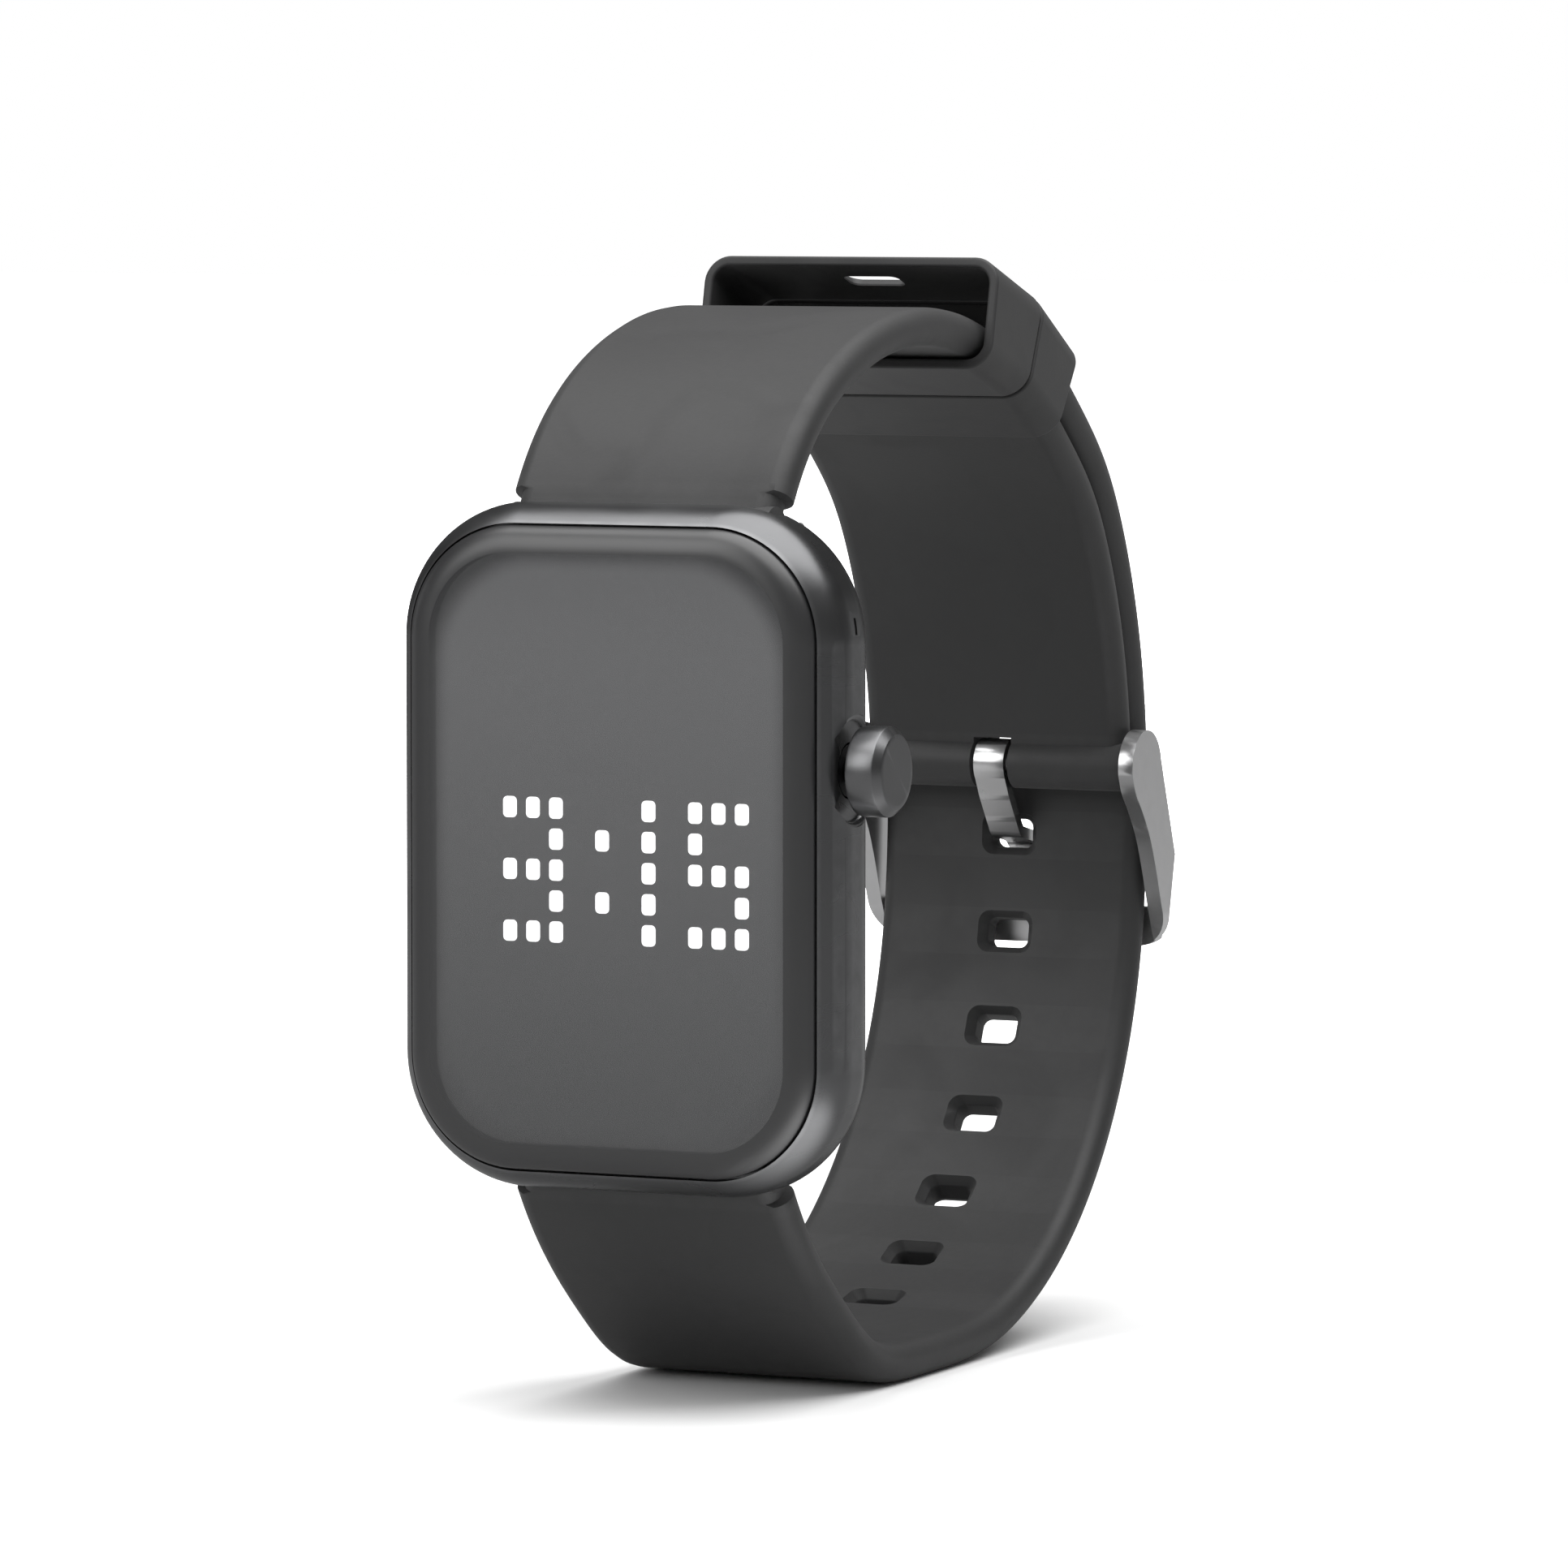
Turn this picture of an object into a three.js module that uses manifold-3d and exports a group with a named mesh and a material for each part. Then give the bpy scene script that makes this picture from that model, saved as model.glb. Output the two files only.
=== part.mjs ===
// Smartwatch on a buckled silicone strap, standing on the closed loop of that strap.
// Millimetres. The dial looks along -Y, the crown is on the +X side, +Z is up.
// The watch is drawn round the middle of its case, then set down with the strap on Z = 0.
import * as THREE from 'three';
import { mergeVertices } from 'three/addons/utils/BufferGeometryUtils.js';
import Module from 'manifold-3d';

// ---- Driving dimensions ----------------------------------------------------------------
// Clearances
const fitGap = 0.15; // round a piece that sits still in another
const runGap = 0.3; // round a piece that turns or slides, and round the strap ends

// Case
const caseWidth = 31.9;
const caseHeight = 45;
const caseCorner = 8.9;
const frameHalfDepth = 4.1;
const frameRound = 3.5; // radius that rounds the frame's sides
const bezelInset = 1.3; // case outline to the seam round the glass
const sideWall = 2.75; // case outline to the cavity, on the left and right
const ledgeDepth = 0.6; // thickness of the ledge behind the rear cover's seal
const ledgeWidth = 0.8;
const lugSideGap = 0.4; // strap's width to the recess that its end sits in
const lugWall = 0.85; // wall between that recess and the rear cover's seat
const barHoleDepth = 0.95; // of the spring bar's hole in the case
const barEngagement = 0.8; // spring bar's end in that hole
const pilotRadius = 0.65; // hole that takes a rear screw
const slitHalfWidth = 0.18; // of the microphone's slit
const slitHalfHeight = 0.6;
const wellFlare = 0.9; // soft edge of the crown's well

// Glass and screen
const glassThickness = 0.8;
const glassDome = 1.1; // rise of the flat glass above its seam
const glassBend = 1.9; // width of the bent edge
const glassRim = 0.7; // depth of the glass below its seam
const gasketThickness = 0.2;
const screenBorder = 2.05; // glass edge to screen edge
const screenThickness = 0.9;

// Inside
const trayThickness = 0.5;
const boardThickness = 0.7;
const boardStrip = 5; // strip of main board beside the battery
const boardLower = 12.2; // height of main board below the battery
const batteryThickness = 3.2;
const motorRadius = 4;
const motorThickness = 2;
const motorInset = 7; // board's edge to the motor's middle
const shieldLength = 8.4;
const shieldHalfHeight = 3.8;
const shieldThickness = 1.3;
const switchLength = 2.3;
const switchHalfHeight = 1.6;
const plungerRadius = 0.6;
const plungerStroke = 0.4;
const sensorBoardRadius = 6;
const sensorBoardThickness = 0.5;
const sealGap = 0.05; // rear gasket to the cover's seat
const boardGap = 0.35; // cavity wall to board, beyond the fit gap
const batteryGap = 0.5; // battery to board and screw bosses
const screwInset = 1.5; // from the rear cover's corner box to each screw's axis
const bossRadius = 1.5;

// Back
const coverInset = 0.55; // frame's rear flat to the rear cover's seat
const coverThickness = 0.75;
const coverCrown = 0.45;
const coverCorner = 2.5;
const rearOpeningCorner = 5.5;
const sensorRadius = 7.1;
const sensorRise = 0.7;

// Crown
const crownHeight = 5.5; // above the middle of the case
const crownRadius = 2.94;
const crownReach = 2.85; // end of the crown beyond the case's side
const crownHead = 2.45;
const crownChamfer = 0.5;
const crownTravel = 0.35;
const crownWellDepth = 0.5;
const shaftRadius = 0.8;
const shaftGap = 0.2; // shaft to sleeve
const socketDepth = 1.3; // of the cap's hole for the shaft
const sleeveWall = 0.7;
const grooveDepth = 0.35; // grooves in the shaft for its clip and its seal
const grooveStart = 0.35; // shaft's end to the clip's groove
const clipGroove = 0.4; // width of the clip's groove
const sealHalfWidth = 0.35; // half the seal's groove

// Strap
const strapWidth = 20;
const strapThickness = 2.6;
const layerGap = 0.35; // between the two layers at the back
const barRadius = 0.75;
const tubeRadius = 1.75; // strap end wrapped round a bar
const barInset = 1.9; // end of the case to the spring bar
const barDepth = 1.7; // middle of the case to the spring bar
const holePitch = 7.2;
const holeCount = 10;
const holeWidth = 2.9;
const holeLength = 2.1;
const holeCorner = 0.6;
const tipLength = 6; // rounded end of the long strap
const tipHalfWidth = 4;
const fastenedDrop = 5.3; // buckle's bar to the hole that the tongue is in
const fastenedHole = 4; // that hole, counted from the strap's tip

// The strap's loop, as bends of its middle surface: radius in mm, turn in degrees
const shoulderBend = { radius: 19.42, turn: 37.7 };
const crestBend = { radius: 33.25, turn: 65.8 };
const straightRun = 5.92;
const cornerBend = { radius: 14, turn: 20 };
const backBend = { radius: 35.35, turn: 30 };
const easeTurn = 8; // slow bend below the buckle, as long as the case's height asks for
const heelBends = [{ radius: 32, turn: 34 }, { radius: 30.8, turn: 50 }];
const toeBend = { radius: 11, turn: 38 }; // from the flat sole up to the front
const frontRun = 6.16;
const frontBend = { radius: 29.5, turn: 24 };
const loopStart = 65.5; // direction in which the strap leaves the case's top, above horizontal

// Keepers, placed by their angle back from the crest bend's top
const keeperWall = 0.7;
const keeperSideGap = 0.35;
const keeperPlay = 0.45; // over the strap's two layers
const keeperCorner = 1.9;
const freeKeeper = { lead: 12.4, trail: 24.5 };
const fixedKeeper = { lead: 25, trail: 35.6 };
const tailAngle = 27.5; // where the strap's tip ends, inside the fixed keeper

// Buckle
const armThickness = 1.1;
const armGap = 0.4; // strap edge to arm
const armHeadRadius = 2.5;
const crossbarThickness = 0.9;
const crossbarHeight = 2.8;
const crossbarGap = 0.45; // long strap to crossbar
const tongueNotch = 0.45; // depth of the tongue's seat in the crossbar
const armFoot = 0.57; // height of an arm's rear corner, as a share of the buckle's length
const buckleLength = 12.8; // bar to the crossbar's lower edge
const tongueWidth = 2.3;
const tongueThickness = 0.8;

// ---- Tools -----------------------------------------------------------------------------
const wasm = await Module();
wasm.setup();

const degrees = THREE.MathUtils.degToRad;

function solidOf(geometry) {
  const plain = new THREE.BufferGeometry();
  const loose = geometry.index ? geometry.toNonIndexed() : geometry;
  plain.setAttribute('position', loose.getAttribute('position').clone());
  const merged = mergeVertices(plain, 1e-4);
  return new wasm.Manifold(new wasm.Mesh({
    numProp: 3,
    vertProperties: merged.attributes.position.array,
    triVerts: new Uint32Array(merged.index.array),
  }));
}

function geometryOf(solid) {
  const mesh = solid.getMesh();
  const geometry = new THREE.BufferGeometry();
  geometry.setAttribute('position', new THREE.BufferAttribute(mesh.vertProperties, 3));
  geometry.setIndex(new THREE.BufferAttribute(mesh.triVerts, 1));
  const faceted = geometry.toNonIndexed();
  faceted.computeVertexNormals();
  return faceted;
}

function cut(body, ...tools) {
  let solid = solidOf(body);
  for (const tool of tools) solid = solid.subtract(solidOf(tool));
  return geometryOf(solid);
}

function join(...bodies) {
  let solid = solidOf(bodies[0]);
  for (const body of bodies.slice(1)) solid = solid.add(solidOf(body));
  return geometryOf(solid);
}

// A closed body through rings of equal length, with a flat cap on the first and last.
function loft(rings) {
  const count = rings[0].length;
  const positions = [];
  const face = (a, b, c) => positions.push(...a, ...b, ...c);
  const point = (ring, i) => rings[ring][i % count].toArray();
  for (let r = 0; r + 1 < rings.length; r += 1) {
    for (let i = 0; i < count; i += 1) {
      face(point(r, i), point(r, i + 1), point(r + 1, i + 1));
      face(point(r, i), point(r + 1, i + 1), point(r + 1, i));
    }
  }
  for (let i = 1; i + 1 < count; i += 1) {
    const last = rings.length - 1;
    face(point(0, 0), point(0, i + 1), point(0, i));
    face(point(last, 0), point(last, i), point(last, i + 1));
  }
  const geometry = new THREE.BufferGeometry();
  geometry.setAttribute('position', new THREE.Float32BufferAttribute(positions, 3));
  geometry.computeVertexNormals();
  return geometry;
}

// Rounded rectangle outline, as pairs, turning from +u towards +v.
function roundedOutline(halfU, halfV, corner, steps = 7) {
  const radius = Math.max(0.05, Math.min(corner, halfU, halfV));
  const outline = [];
  for (let quarter = 0; quarter < 4; quarter += 1) {
    const signU = quarter === 0 || quarter === 3 ? 1 : -1;
    const signV = quarter < 2 ? 1 : -1;
    for (let i = 0; i <= steps; i += 1) {
      const angle = (quarter + i / steps) * Math.PI / 2;
      outline.push([
        signU * (halfU - radius) + radius * Math.cos(angle),
        signV * (halfV - radius) + radius * Math.sin(angle),
      ]);
    }
  }
  return outline;
}

// Rounded rectangle that faces along Y, as a ring for loft.
function faceRing(halfX, halfZ, corner, y, centreX = 0, centreZ = 0) {
  return roundedOutline(halfX, halfZ, corner)
    .map(([u, v]) => new THREE.Vector3(centreX + u, y, centreZ - v));
}

// Plate with rounded corners between two depths.
function slab(halfX, halfZ, corner, front, back, centreX = 0, centreZ = 0) {
  return loft([front, back].map((y) => faceRing(halfX, halfZ, corner, y, centreX, centreZ)));
}

// Flat outline of [x, z] points between two depths.
function plate(points, front, back) {
  const shape = new THREE.Shape(points.map(([x, z]) => new THREE.Vector2(x, z)));
  const geometry = new THREE.ExtrudeGeometry(shape, { depth: back - front, bevelEnabled: false });
  geometry.rotateX(Math.PI / 2);
  return geometry.translate(0, back, 0);
}

// Side outline of [y, z] points between two X values.
function sidePlate(points, left, right) {
  const shape = new THREE.Shape(points.map(([y, z]) => new THREE.Vector2(y, z)));
  const geometry = new THREE.ExtrudeGeometry(shape, { depth: right - left, bevelEnabled: false });
  const axes = new THREE.Matrix4().makeBasis(
    new THREE.Vector3(0, 1, 0), new THREE.Vector3(0, 0, 1), new THREE.Vector3(1, 0, 0));
  return geometry.applyMatrix4(axes).translate(left, 0, 0);
}

// Body turned about X, from [radius, x] points that start and end on the axis.
function turnedAlongX(profile, y = 0, z = 0, sides = 28) {
  const points = profile.map(([radius, x]) => new THREE.Vector2(radius, x));
  const geometry = new THREE.LatheGeometry(points, sides);
  geometry.rotateZ(-Math.PI / 2);
  return geometry.translate(0, y, z);
}

// Body turned about Y, from [radius, y] points that start and end on the axis.
function turnedAlongY(profile, x = 0, z = 0, sides = 28) {
  const points = profile.map(([radius, y]) => new THREE.Vector2(radius, y));
  return new THREE.LatheGeometry(points, sides).translate(x, 0, z);
}

const rodAlongX = (radius, left, right, y, z, sides = 28) => (
  turnedAlongX([[0, left], [radius, left], [radius, right], [0, right]], y, z, sides));

const rodAlongY = (radius, front, back, x, z, sides = 28) => (
  turnedAlongY([[0, front], [radius, front], [radius, back], [0, back]], x, z, sides));

function block(left, right, front, back, bottom, top) {
  const geometry = new THREE.BoxGeometry(right - left, back - front, top - bottom);
  return geometry.translate((left + right) / 2, (front + back) / 2, (bottom + top) / 2);
}

// A line in the YZ plane made of bends and straights. Turns are clockwise seen from +X.
class Track {
  constructor(y, z, heading) {
    this.y = y;
    this.z = z;
    this.heading = heading;
    this.length = 0;
    this.points = [this.here()];
  }

  here() {
    return { y: this.y, z: this.z, heading: this.heading, along: this.length };
  }

  bend({ radius, turn }, spacing = 2.4) {
    const centreY = this.y + radius * Math.sin(degrees(this.heading));
    const centreZ = this.z - radius * Math.cos(degrees(this.heading));
    const steps = Math.max(1, Math.ceil(radius * degrees(turn) / spacing));
    const start = this.heading;
    const startLength = this.length;
    for (let i = 1; i <= steps; i += 1) {
      this.heading = start - turn * i / steps;
      this.y = centreY - radius * Math.sin(degrees(this.heading));
      this.z = centreZ + radius * Math.cos(degrees(this.heading));
      this.length = startLength + radius * degrees(turn) * i / steps;
      this.points.push(this.here());
    }
    return { y: centreY, z: centreZ, radius };
  }

  straight(distance) {
    this.y += distance * Math.cos(degrees(this.heading));
    this.z += distance * Math.sin(degrees(this.heading));
    this.length += distance;
    this.points.push(this.here());
  }

  at(along) {
    const next = Math.max(1, this.points.findIndex((p) => p.along >= along));
    const [a, b] = [this.points[next - 1], this.points[next]];
    const share = (along - a.along) / (b.along - a.along);
    return {
      y: a.y + share * (b.y - a.y),
      z: a.z + share * (b.z - a.z),
      heading: a.heading + share * (b.heading - a.heading),
      along,
    };
  }
}

// Band cross-section at a track point, with half-round edges. Outside is the track's left.
function bandRing({ y, z, heading }, halfWidth, halfThickness) {
  const edgeSteps = 4;
  const ring = [];
  for (const side of [1, -1]) {
    for (let i = 0; i <= edgeSteps; i += 1) {
      const angle = Math.PI * i / edgeSteps;
      const across = side * (halfWidth - halfThickness + halfThickness * Math.sin(angle));
      const out = side * halfThickness * Math.cos(angle);
      ring.push(new THREE.Vector3(
        across,
        y - out * Math.sin(degrees(heading)),
        z + out * Math.cos(degrees(heading)),
      ));
    }
  }
  return ring;
}

const band = (points, widthAt) => (
  loft(points.map((p) => bandRing(p, widthAt(p.along), strapThickness / 2))));

// ---- The strap's two tracks ------------------------------------------------------------
const barZ = caseHeight / 2 - barInset;
const layerPitch = strapThickness + layerGap;

// Upper strap: from the case's top over the crest and down to the buckle's bar.
const upperTrack = new Track(barDepth, barZ, loopStart);
upperTrack.bend(shoulderBend);
const crest = upperTrack.bend(crestBend);
upperTrack.straight(straightRun);
upperTrack.bend(cornerBend, 1.6);
upperTrack.bend(backBend);
const buckleEnd = upperTrack.here();
const tubeDrop = tubeRadius - strapThickness / 2; // tube flush with the strap's outer face
const buckleBar = {
  y: buckleEnd.y + tubeDrop * Math.sin(degrees(buckleEnd.heading)),
  z: buckleEnd.z - tubeDrop * Math.cos(degrees(buckleEnd.heading)),
};

// The last stretch, from the flat sole up to the case, drawn from the sole's end.
function addFront(track) {
  track.bend(toeBend);
  track.straight(frontRun);
  track.bend(frontBend);
}
const frontStretch = new Track(0, 0, -180);
addFront(frontStretch);

// Fall of a bend, from the direction in which it begins.
const fall = ({ radius, turn }, heading) => (
  radius * (Math.cos(degrees(heading)) - Math.cos(degrees(heading - turn))));

// Lower strap: from its tip in the fixed keeper, outside the upper strap, under and to the case.
function outerTrack() {
  const tipRadius = crest.radius + layerPitch;
  const track = new Track(
    crest.y + tipRadius * Math.sin(degrees(tailAngle)),
    crest.z + tipRadius * Math.cos(degrees(tailAngle)),
    -tailAngle,
  );
  const crestEnd = crestBend.turn - (loopStart - shoulderBend.turn);
  track.bend({ radius: tipRadius, turn: crestEnd - tailAngle });
  track.straight(straightRun);
  track.bend({ radius: cornerBend.radius + layerPitch, turn: cornerBend.turn }, 1.6);
  track.bend({ radius: backBend.radius + layerPitch, turn: backBend.turn });
  track.besideBar = track.length;
  const [upperHeel, lowerHeel] = heelBends;
  const heelHeading = track.heading - easeTurn;
  const heelFall = fall(upperHeel, heelHeading) + fall(lowerHeel, heelHeading - upperHeel.turn);
  const easeFall = track.z + barZ + frontStretch.z - heelFall;
  track.bend({
    radius: easeFall / fall({ radius: 1, turn: easeTurn }, track.heading),
    turn: easeTurn,
  });
  track.bend(upperHeel);
  track.bend(lowerHeel);
  track.straight(track.y - barDepth + frontStretch.y);
  addFront(track);
  return track;
}
const lowerTrack = outerTrack();

// ---- Case ------------------------------------------------------------------------------
const frameFlat = frameHalfDepth - frameRound;
const seamHalfX = caseWidth / 2 - bezelInset;
const seamHalfZ = caseHeight / 2 - bezelInset;
const seamCorner = caseCorner - bezelInset;
const seamY = -(frameFlat + Math.sqrt(frameRound ** 2 - (frameRound - bezelInset) ** 2));
const seatY = seamY + glassRim + 2 * fitGap + gasketThickness;
const lugHalfX = strapWidth / 2 + lugSideGap;
const lugFrontY = barDepth - tubeRadius - runGap;
const lugWallZ = barZ - tubeRadius - runGap;
const coverSeatHalfX = caseWidth / 2 - frameRound - coverInset;
const coverSeatHalfZ = lugWallZ - lugWall;
const cavityHalfX = caseWidth / 2 - sideWall;
const cavityHalfZ = coverSeatHalfZ - ledgeWidth;
const cavityCorner = 4;
const coverSeatY = frameHalfDepth - coverThickness - fitGap;
const cavityBackY = coverSeatY - ledgeDepth;
const crownWellX = caseWidth / 2 - crownWellDepth;
const sleeveRadius = shaftRadius + shaftGap + sleeveWall;
const screwX = coverSeatHalfX - screwInset;
const screwZ = coverSeatHalfZ - screwInset;
const screwSpots = [[1, 1], [-1, 1], [-1, -1], [1, -1]].map(([x, z]) => [x * screwX, z * screwZ]);
const microphoneZ = 14.8;
const contactSpots = [['left', -2.5], ['right', 2.5]];
const contactZ = -12;

function caseOutline(inset, y) {
  return faceRing(caseWidth / 2 - inset, caseHeight / 2 - inset, caseCorner - inset, y);
}

function caseShell() {
  const rings = [];
  const roundSteps = 6;
  const seamAngle = Math.asin((frameRound - bezelInset) / frameRound);
  for (let i = 0; i <= roundSteps; i += 1) {
    const angle = seamAngle + (Math.PI / 2 - seamAngle) * i / roundSteps;
    const inset = frameRound * (1 - Math.sin(angle));
    rings.push(caseOutline(inset, -frameFlat - frameRound * Math.cos(angle)));
  }
  for (let i = 0; i <= roundSteps; i += 1) {
    const angle = Math.PI / 2 * (1 - i / roundSteps);
    const inset = frameRound * (1 - Math.sin(angle));
    rings.push(caseOutline(inset, frameFlat + frameRound * Math.cos(angle)));
  }
  const beyond = 3;
  const lugRecess = (side) => block(
    -lugHalfX, lugHalfX, lugFrontY, frameHalfDepth + beyond,
    Math.min(side * lugWallZ, side * (caseHeight / 2 + beyond)),
    Math.max(side * lugWallZ, side * (caseHeight / 2 + beyond)));
  const barHoles = (side) => rodAlongX(
    barRadius + fitGap, -lugHalfX - barHoleDepth, lugHalfX + barHoleDepth, barDepth, side * barZ);
  const bosses = screwSpots.map(([x, z]) => rodAlongY(bossRadius, 0.2, coverSeatY, x, z, 16));
  const hollow = cut(
    loft(rings),
    slab(seamHalfX, seamHalfZ, seamCorner, seamY - beyond, seatY),
    slab(cavityHalfX, cavityHalfZ, cavityCorner, seatY - 1, cavityBackY),
    slab(
      coverSeatHalfX - ledgeWidth, cavityHalfZ, rearOpeningCorner, cavityBackY - 1, coverSeatY + 1),
    slab(coverSeatHalfX, coverSeatHalfZ, coverCorner, coverSeatY, frameHalfDepth + beyond),
  );
  return cut(
    join(hollow, ...bosses),
    lugRecess(1),
    lugRecess(-1),
    barHoles(1),
    barHoles(-1),
    rodAlongX(sleeveRadius + fitGap, cavityHalfX - 1, caseWidth / 2 + beyond, 0, crownHeight),
    crownWell(),
    block(
      cavityHalfX - 1, caseWidth / 2 + beyond, -slitHalfWidth, slitHalfWidth,
      microphoneZ - slitHalfHeight, microphoneZ + slitHalfHeight),
    ...screwSpots.map(([x, z]) => rodAlongY(pilotRadius, 1.2, coverSeatY + 1, x, z, 14)),
  );
}

// Round well that the crown sinks into when it is pressed, with a soft dished edge.
function crownWell() {
  const wellRadius = crownRadius + runGap;
  const side = caseWidth / 2;
  return turnedAlongX([
    [0, crownWellX],
    [wellRadius, crownWellX],
    [wellRadius, side - 0.2],
    [wellRadius + wellFlare, side + fitGap],
    [wellRadius + wellFlare, side + 1],
    [0, side + 1],
  ], 0, crownHeight);
}

function frontGlass() {
  const rim = (inset, y) => faceRing(
    seamHalfX - fitGap - inset, seamHalfZ - fitGap - inset, seamCorner - fitGap - inset, y);
  const rings = [rim(0, seamY + glassRim)];
  const bendSteps = 6;
  for (let i = 0; i <= bendSteps; i += 1) {
    const angle = Math.PI / 2 * i / bendSteps;
    rings.push(rim(glassBend * (1 - Math.cos(angle)), seamY - glassDome * Math.sin(angle)));
  }
  const pocketHalfX = screenHalfX + fitGap;
  const pocketHalfZ = screenHalfZ + fitGap;
  return cut(
    loft(rings.reverse()),
    slab(pocketHalfX, pocketHalfZ, screenCorner, glassBackY, seamY + glassRim + 1),
  );
}
const glassFrontY = seamY - glassDome;
const glassBackY = glassFrontY + glassThickness;
const screenHalfX = seamHalfX - screenBorder;
const screenHalfZ = seamHalfZ - screenBorder;
const screenCorner = seamCorner - screenBorder;
const screenFrontY = glassBackY + fitGap;

function glassGasket() {
  const outer = seamHalfX - fitGap;
  const front = seamY + glassRim + fitGap;
  const back = front + gasketThickness;
  const width = seamHalfX - fitGap - cavityHalfX - fitGap;
  return cut(
    slab(outer, seamHalfZ - fitGap, seamCorner - fitGap, front, back),
    slab(outer - width, seamHalfZ - fitGap - width, seamCorner - width, front - 1, back + 1),
  );
}

const displayPanel = () => slab(
  screenHalfX, screenHalfZ, screenCorner, screenFrontY, screenFrontY + screenThickness);

// ---- Inside the case ---------------------------------------------------------------------
const trayFrontY = seatY + fitGap;
const boardFrontY = trayFrontY + trayThickness + fitGap;
const boardBackY = boardFrontY + boardThickness;
const innerHalfX = cavityHalfX - fitGap - boardGap;
const innerHalfZ = cavityHalfZ - fitGap - boardGap;
const stripLeft = innerHalfX - boardStrip;
const boardTop = -innerHalfZ + boardLower;
const batteryBackY = boardFrontY + batteryThickness;
const shaftEnd = cavityHalfX - 1.2;
const switchFace = shaftEnd - crownTravel - 0.1;

function innerFrame() {
  const halfX = cavityHalfX - fitGap;
  const halfZ = cavityHalfZ - fitGap;
  const back = trayFrontY + trayThickness;
  return cut(
    slab(halfX, halfZ, cavityCorner - fitGap, trayFrontY, back),
    slab(4, 1.5, 0.5, trayFrontY - 1, back + 1, 0, -halfZ + 4),
    slab(halfX - 3, 6, 2, trayFrontY - 1, back + 1, 0, 6),
  );
}

function mainBoard() {
  const corner = 3.4;
  const points = [
    [-innerHalfX, -innerHalfZ + corner],
    [-innerHalfX + corner, -innerHalfZ],
    [innerHalfX - corner, -innerHalfZ],
    [innerHalfX, -innerHalfZ + corner],
    [innerHalfX, innerHalfZ - corner],
    [innerHalfX - corner, innerHalfZ],
    [stripLeft, innerHalfZ],
    [stripLeft, boardTop],
    [-innerHalfX, boardTop],
  ];
  const crownNotch = block(
    shaftEnd - crownTravel - runGap, innerHalfX + 1, boardFrontY - 1, boardBackY + 1,
    crownHeight - sleeveRadius, crownHeight + sleeveRadius);
  return cut(plate(points, boardFrontY, boardBackY), crownNotch);
}

function battery() {
  const left = -innerHalfX + batteryGap;
  const right = stripLeft - batteryGap;
  const bottom = boardTop + batteryGap;
  const top = screwZ - bossRadius - batteryGap;
  return slab(
    (right - left) / 2, (top - bottom) / 2, 1, boardFrontY, batteryBackY,
    (left + right) / 2, (top + bottom) / 2);
}

const motorX = -innerHalfX + motorInset;
const partsZ = -innerHalfZ + boardLower / 2; // middle of the parts below the battery
const partsFrontY = boardBackY + fitGap;

function processorShield() {
  const left = motorX + motorRadius + runGap;
  const right = Math.min(left + shieldLength, innerHalfX - 1);
  return slab(
    (right - left) / 2, shieldHalfHeight, 0.5, partsFrontY, partsFrontY + shieldThickness,
    (left + right) / 2, partsZ);
}

const vibrationMotor = () => rodAlongY(
  motorRadius, partsFrontY, partsFrontY + motorThickness, motorX, partsZ);

const microphone = () => block(
  innerHalfX - 3.6, innerHalfX - 1, partsFrontY, partsFrontY + 1.1,
  microphoneZ - 3.4, microphoneZ - 0.7);

// The crown's push switch, with its plunger on the crown's axis.
function crownSwitch() {
  const faceX = switchFace - plungerStroke;
  return join(
    block(
      faceX - switchLength, faceX, partsFrontY, 2,
      crownHeight - switchHalfHeight, crownHeight + switchHalfHeight),
    rodAlongX(plungerRadius, faceX - 0.2, switchFace, 0, crownHeight, 16),
  );
}

const sensorFrontY = batteryBackY + 0.1;
const opticsFrontY = sensorFrontY + sensorBoardThickness + 0.1;
const sensorBoard = () => rodAlongY(
  sensorBoardRadius, sensorFrontY, sensorFrontY + sensorBoardThickness, 0, 0);
const opticalSensor = () => slab(2.2, 1.6, 0.3, opticsFrontY, coverSeatY);

// ---- Back of the case ----------------------------------------------------------------------
const coverBackY = frameHalfDepth + coverCrown;
const windowSeatY = frameHalfDepth - 0.1;

function rearGasket() {
  const width = ledgeWidth - 2 * fitGap;
  const front = coverSeatY - gasketThickness - sealGap;
  const halfX = coverSeatHalfX - ledgeWidth - fitGap;
  const halfZ = cavityHalfZ - fitGap;
  const corner = rearOpeningCorner + bossRadius;
  return cut(
    slab(halfX, halfZ, corner, front, coverSeatY - sealGap),
    slab(halfX - width, halfZ - width, corner - width, front - 1, coverSeatY + 1),
  );
}

function rearCover() {
  const ring = (inset, y) => faceRing(
    coverSeatHalfX - fitGap - inset, coverSeatHalfZ - fitGap - inset, coverCorner - fitGap, y);
  const rings = [
    ring(0, coverSeatY + fitGap),
    ring(0, frameHalfDepth),
    ring(0.3, frameHalfDepth + coverCrown * 0.6),
    ring(1.6, coverBackY),
  ];
  return cut(
    loft(rings),
    rodAlongY(sensorRadius - 1, coverSeatY - 1, coverBackY + 1, 0, 0, 40),
    rodAlongY(sensorRadius, windowSeatY, coverBackY + 1, 0, 0, 40),
    ...screwSpots.map(([x, z]) => rodAlongY(0.8, coverSeatY - 1, coverBackY + 1, x, z, 14)),
    ...screwSpots.map(([x, z]) => rodAlongY(1.15, coverSeatY + 0.5, coverBackY + 1, x, z, 16)),
    ...contactSpots.map(([, x]) => rodAlongY(0.95, coverSeatY - 1, coverBackY + 1, x, contactZ, 16)),
  );
}

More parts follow.
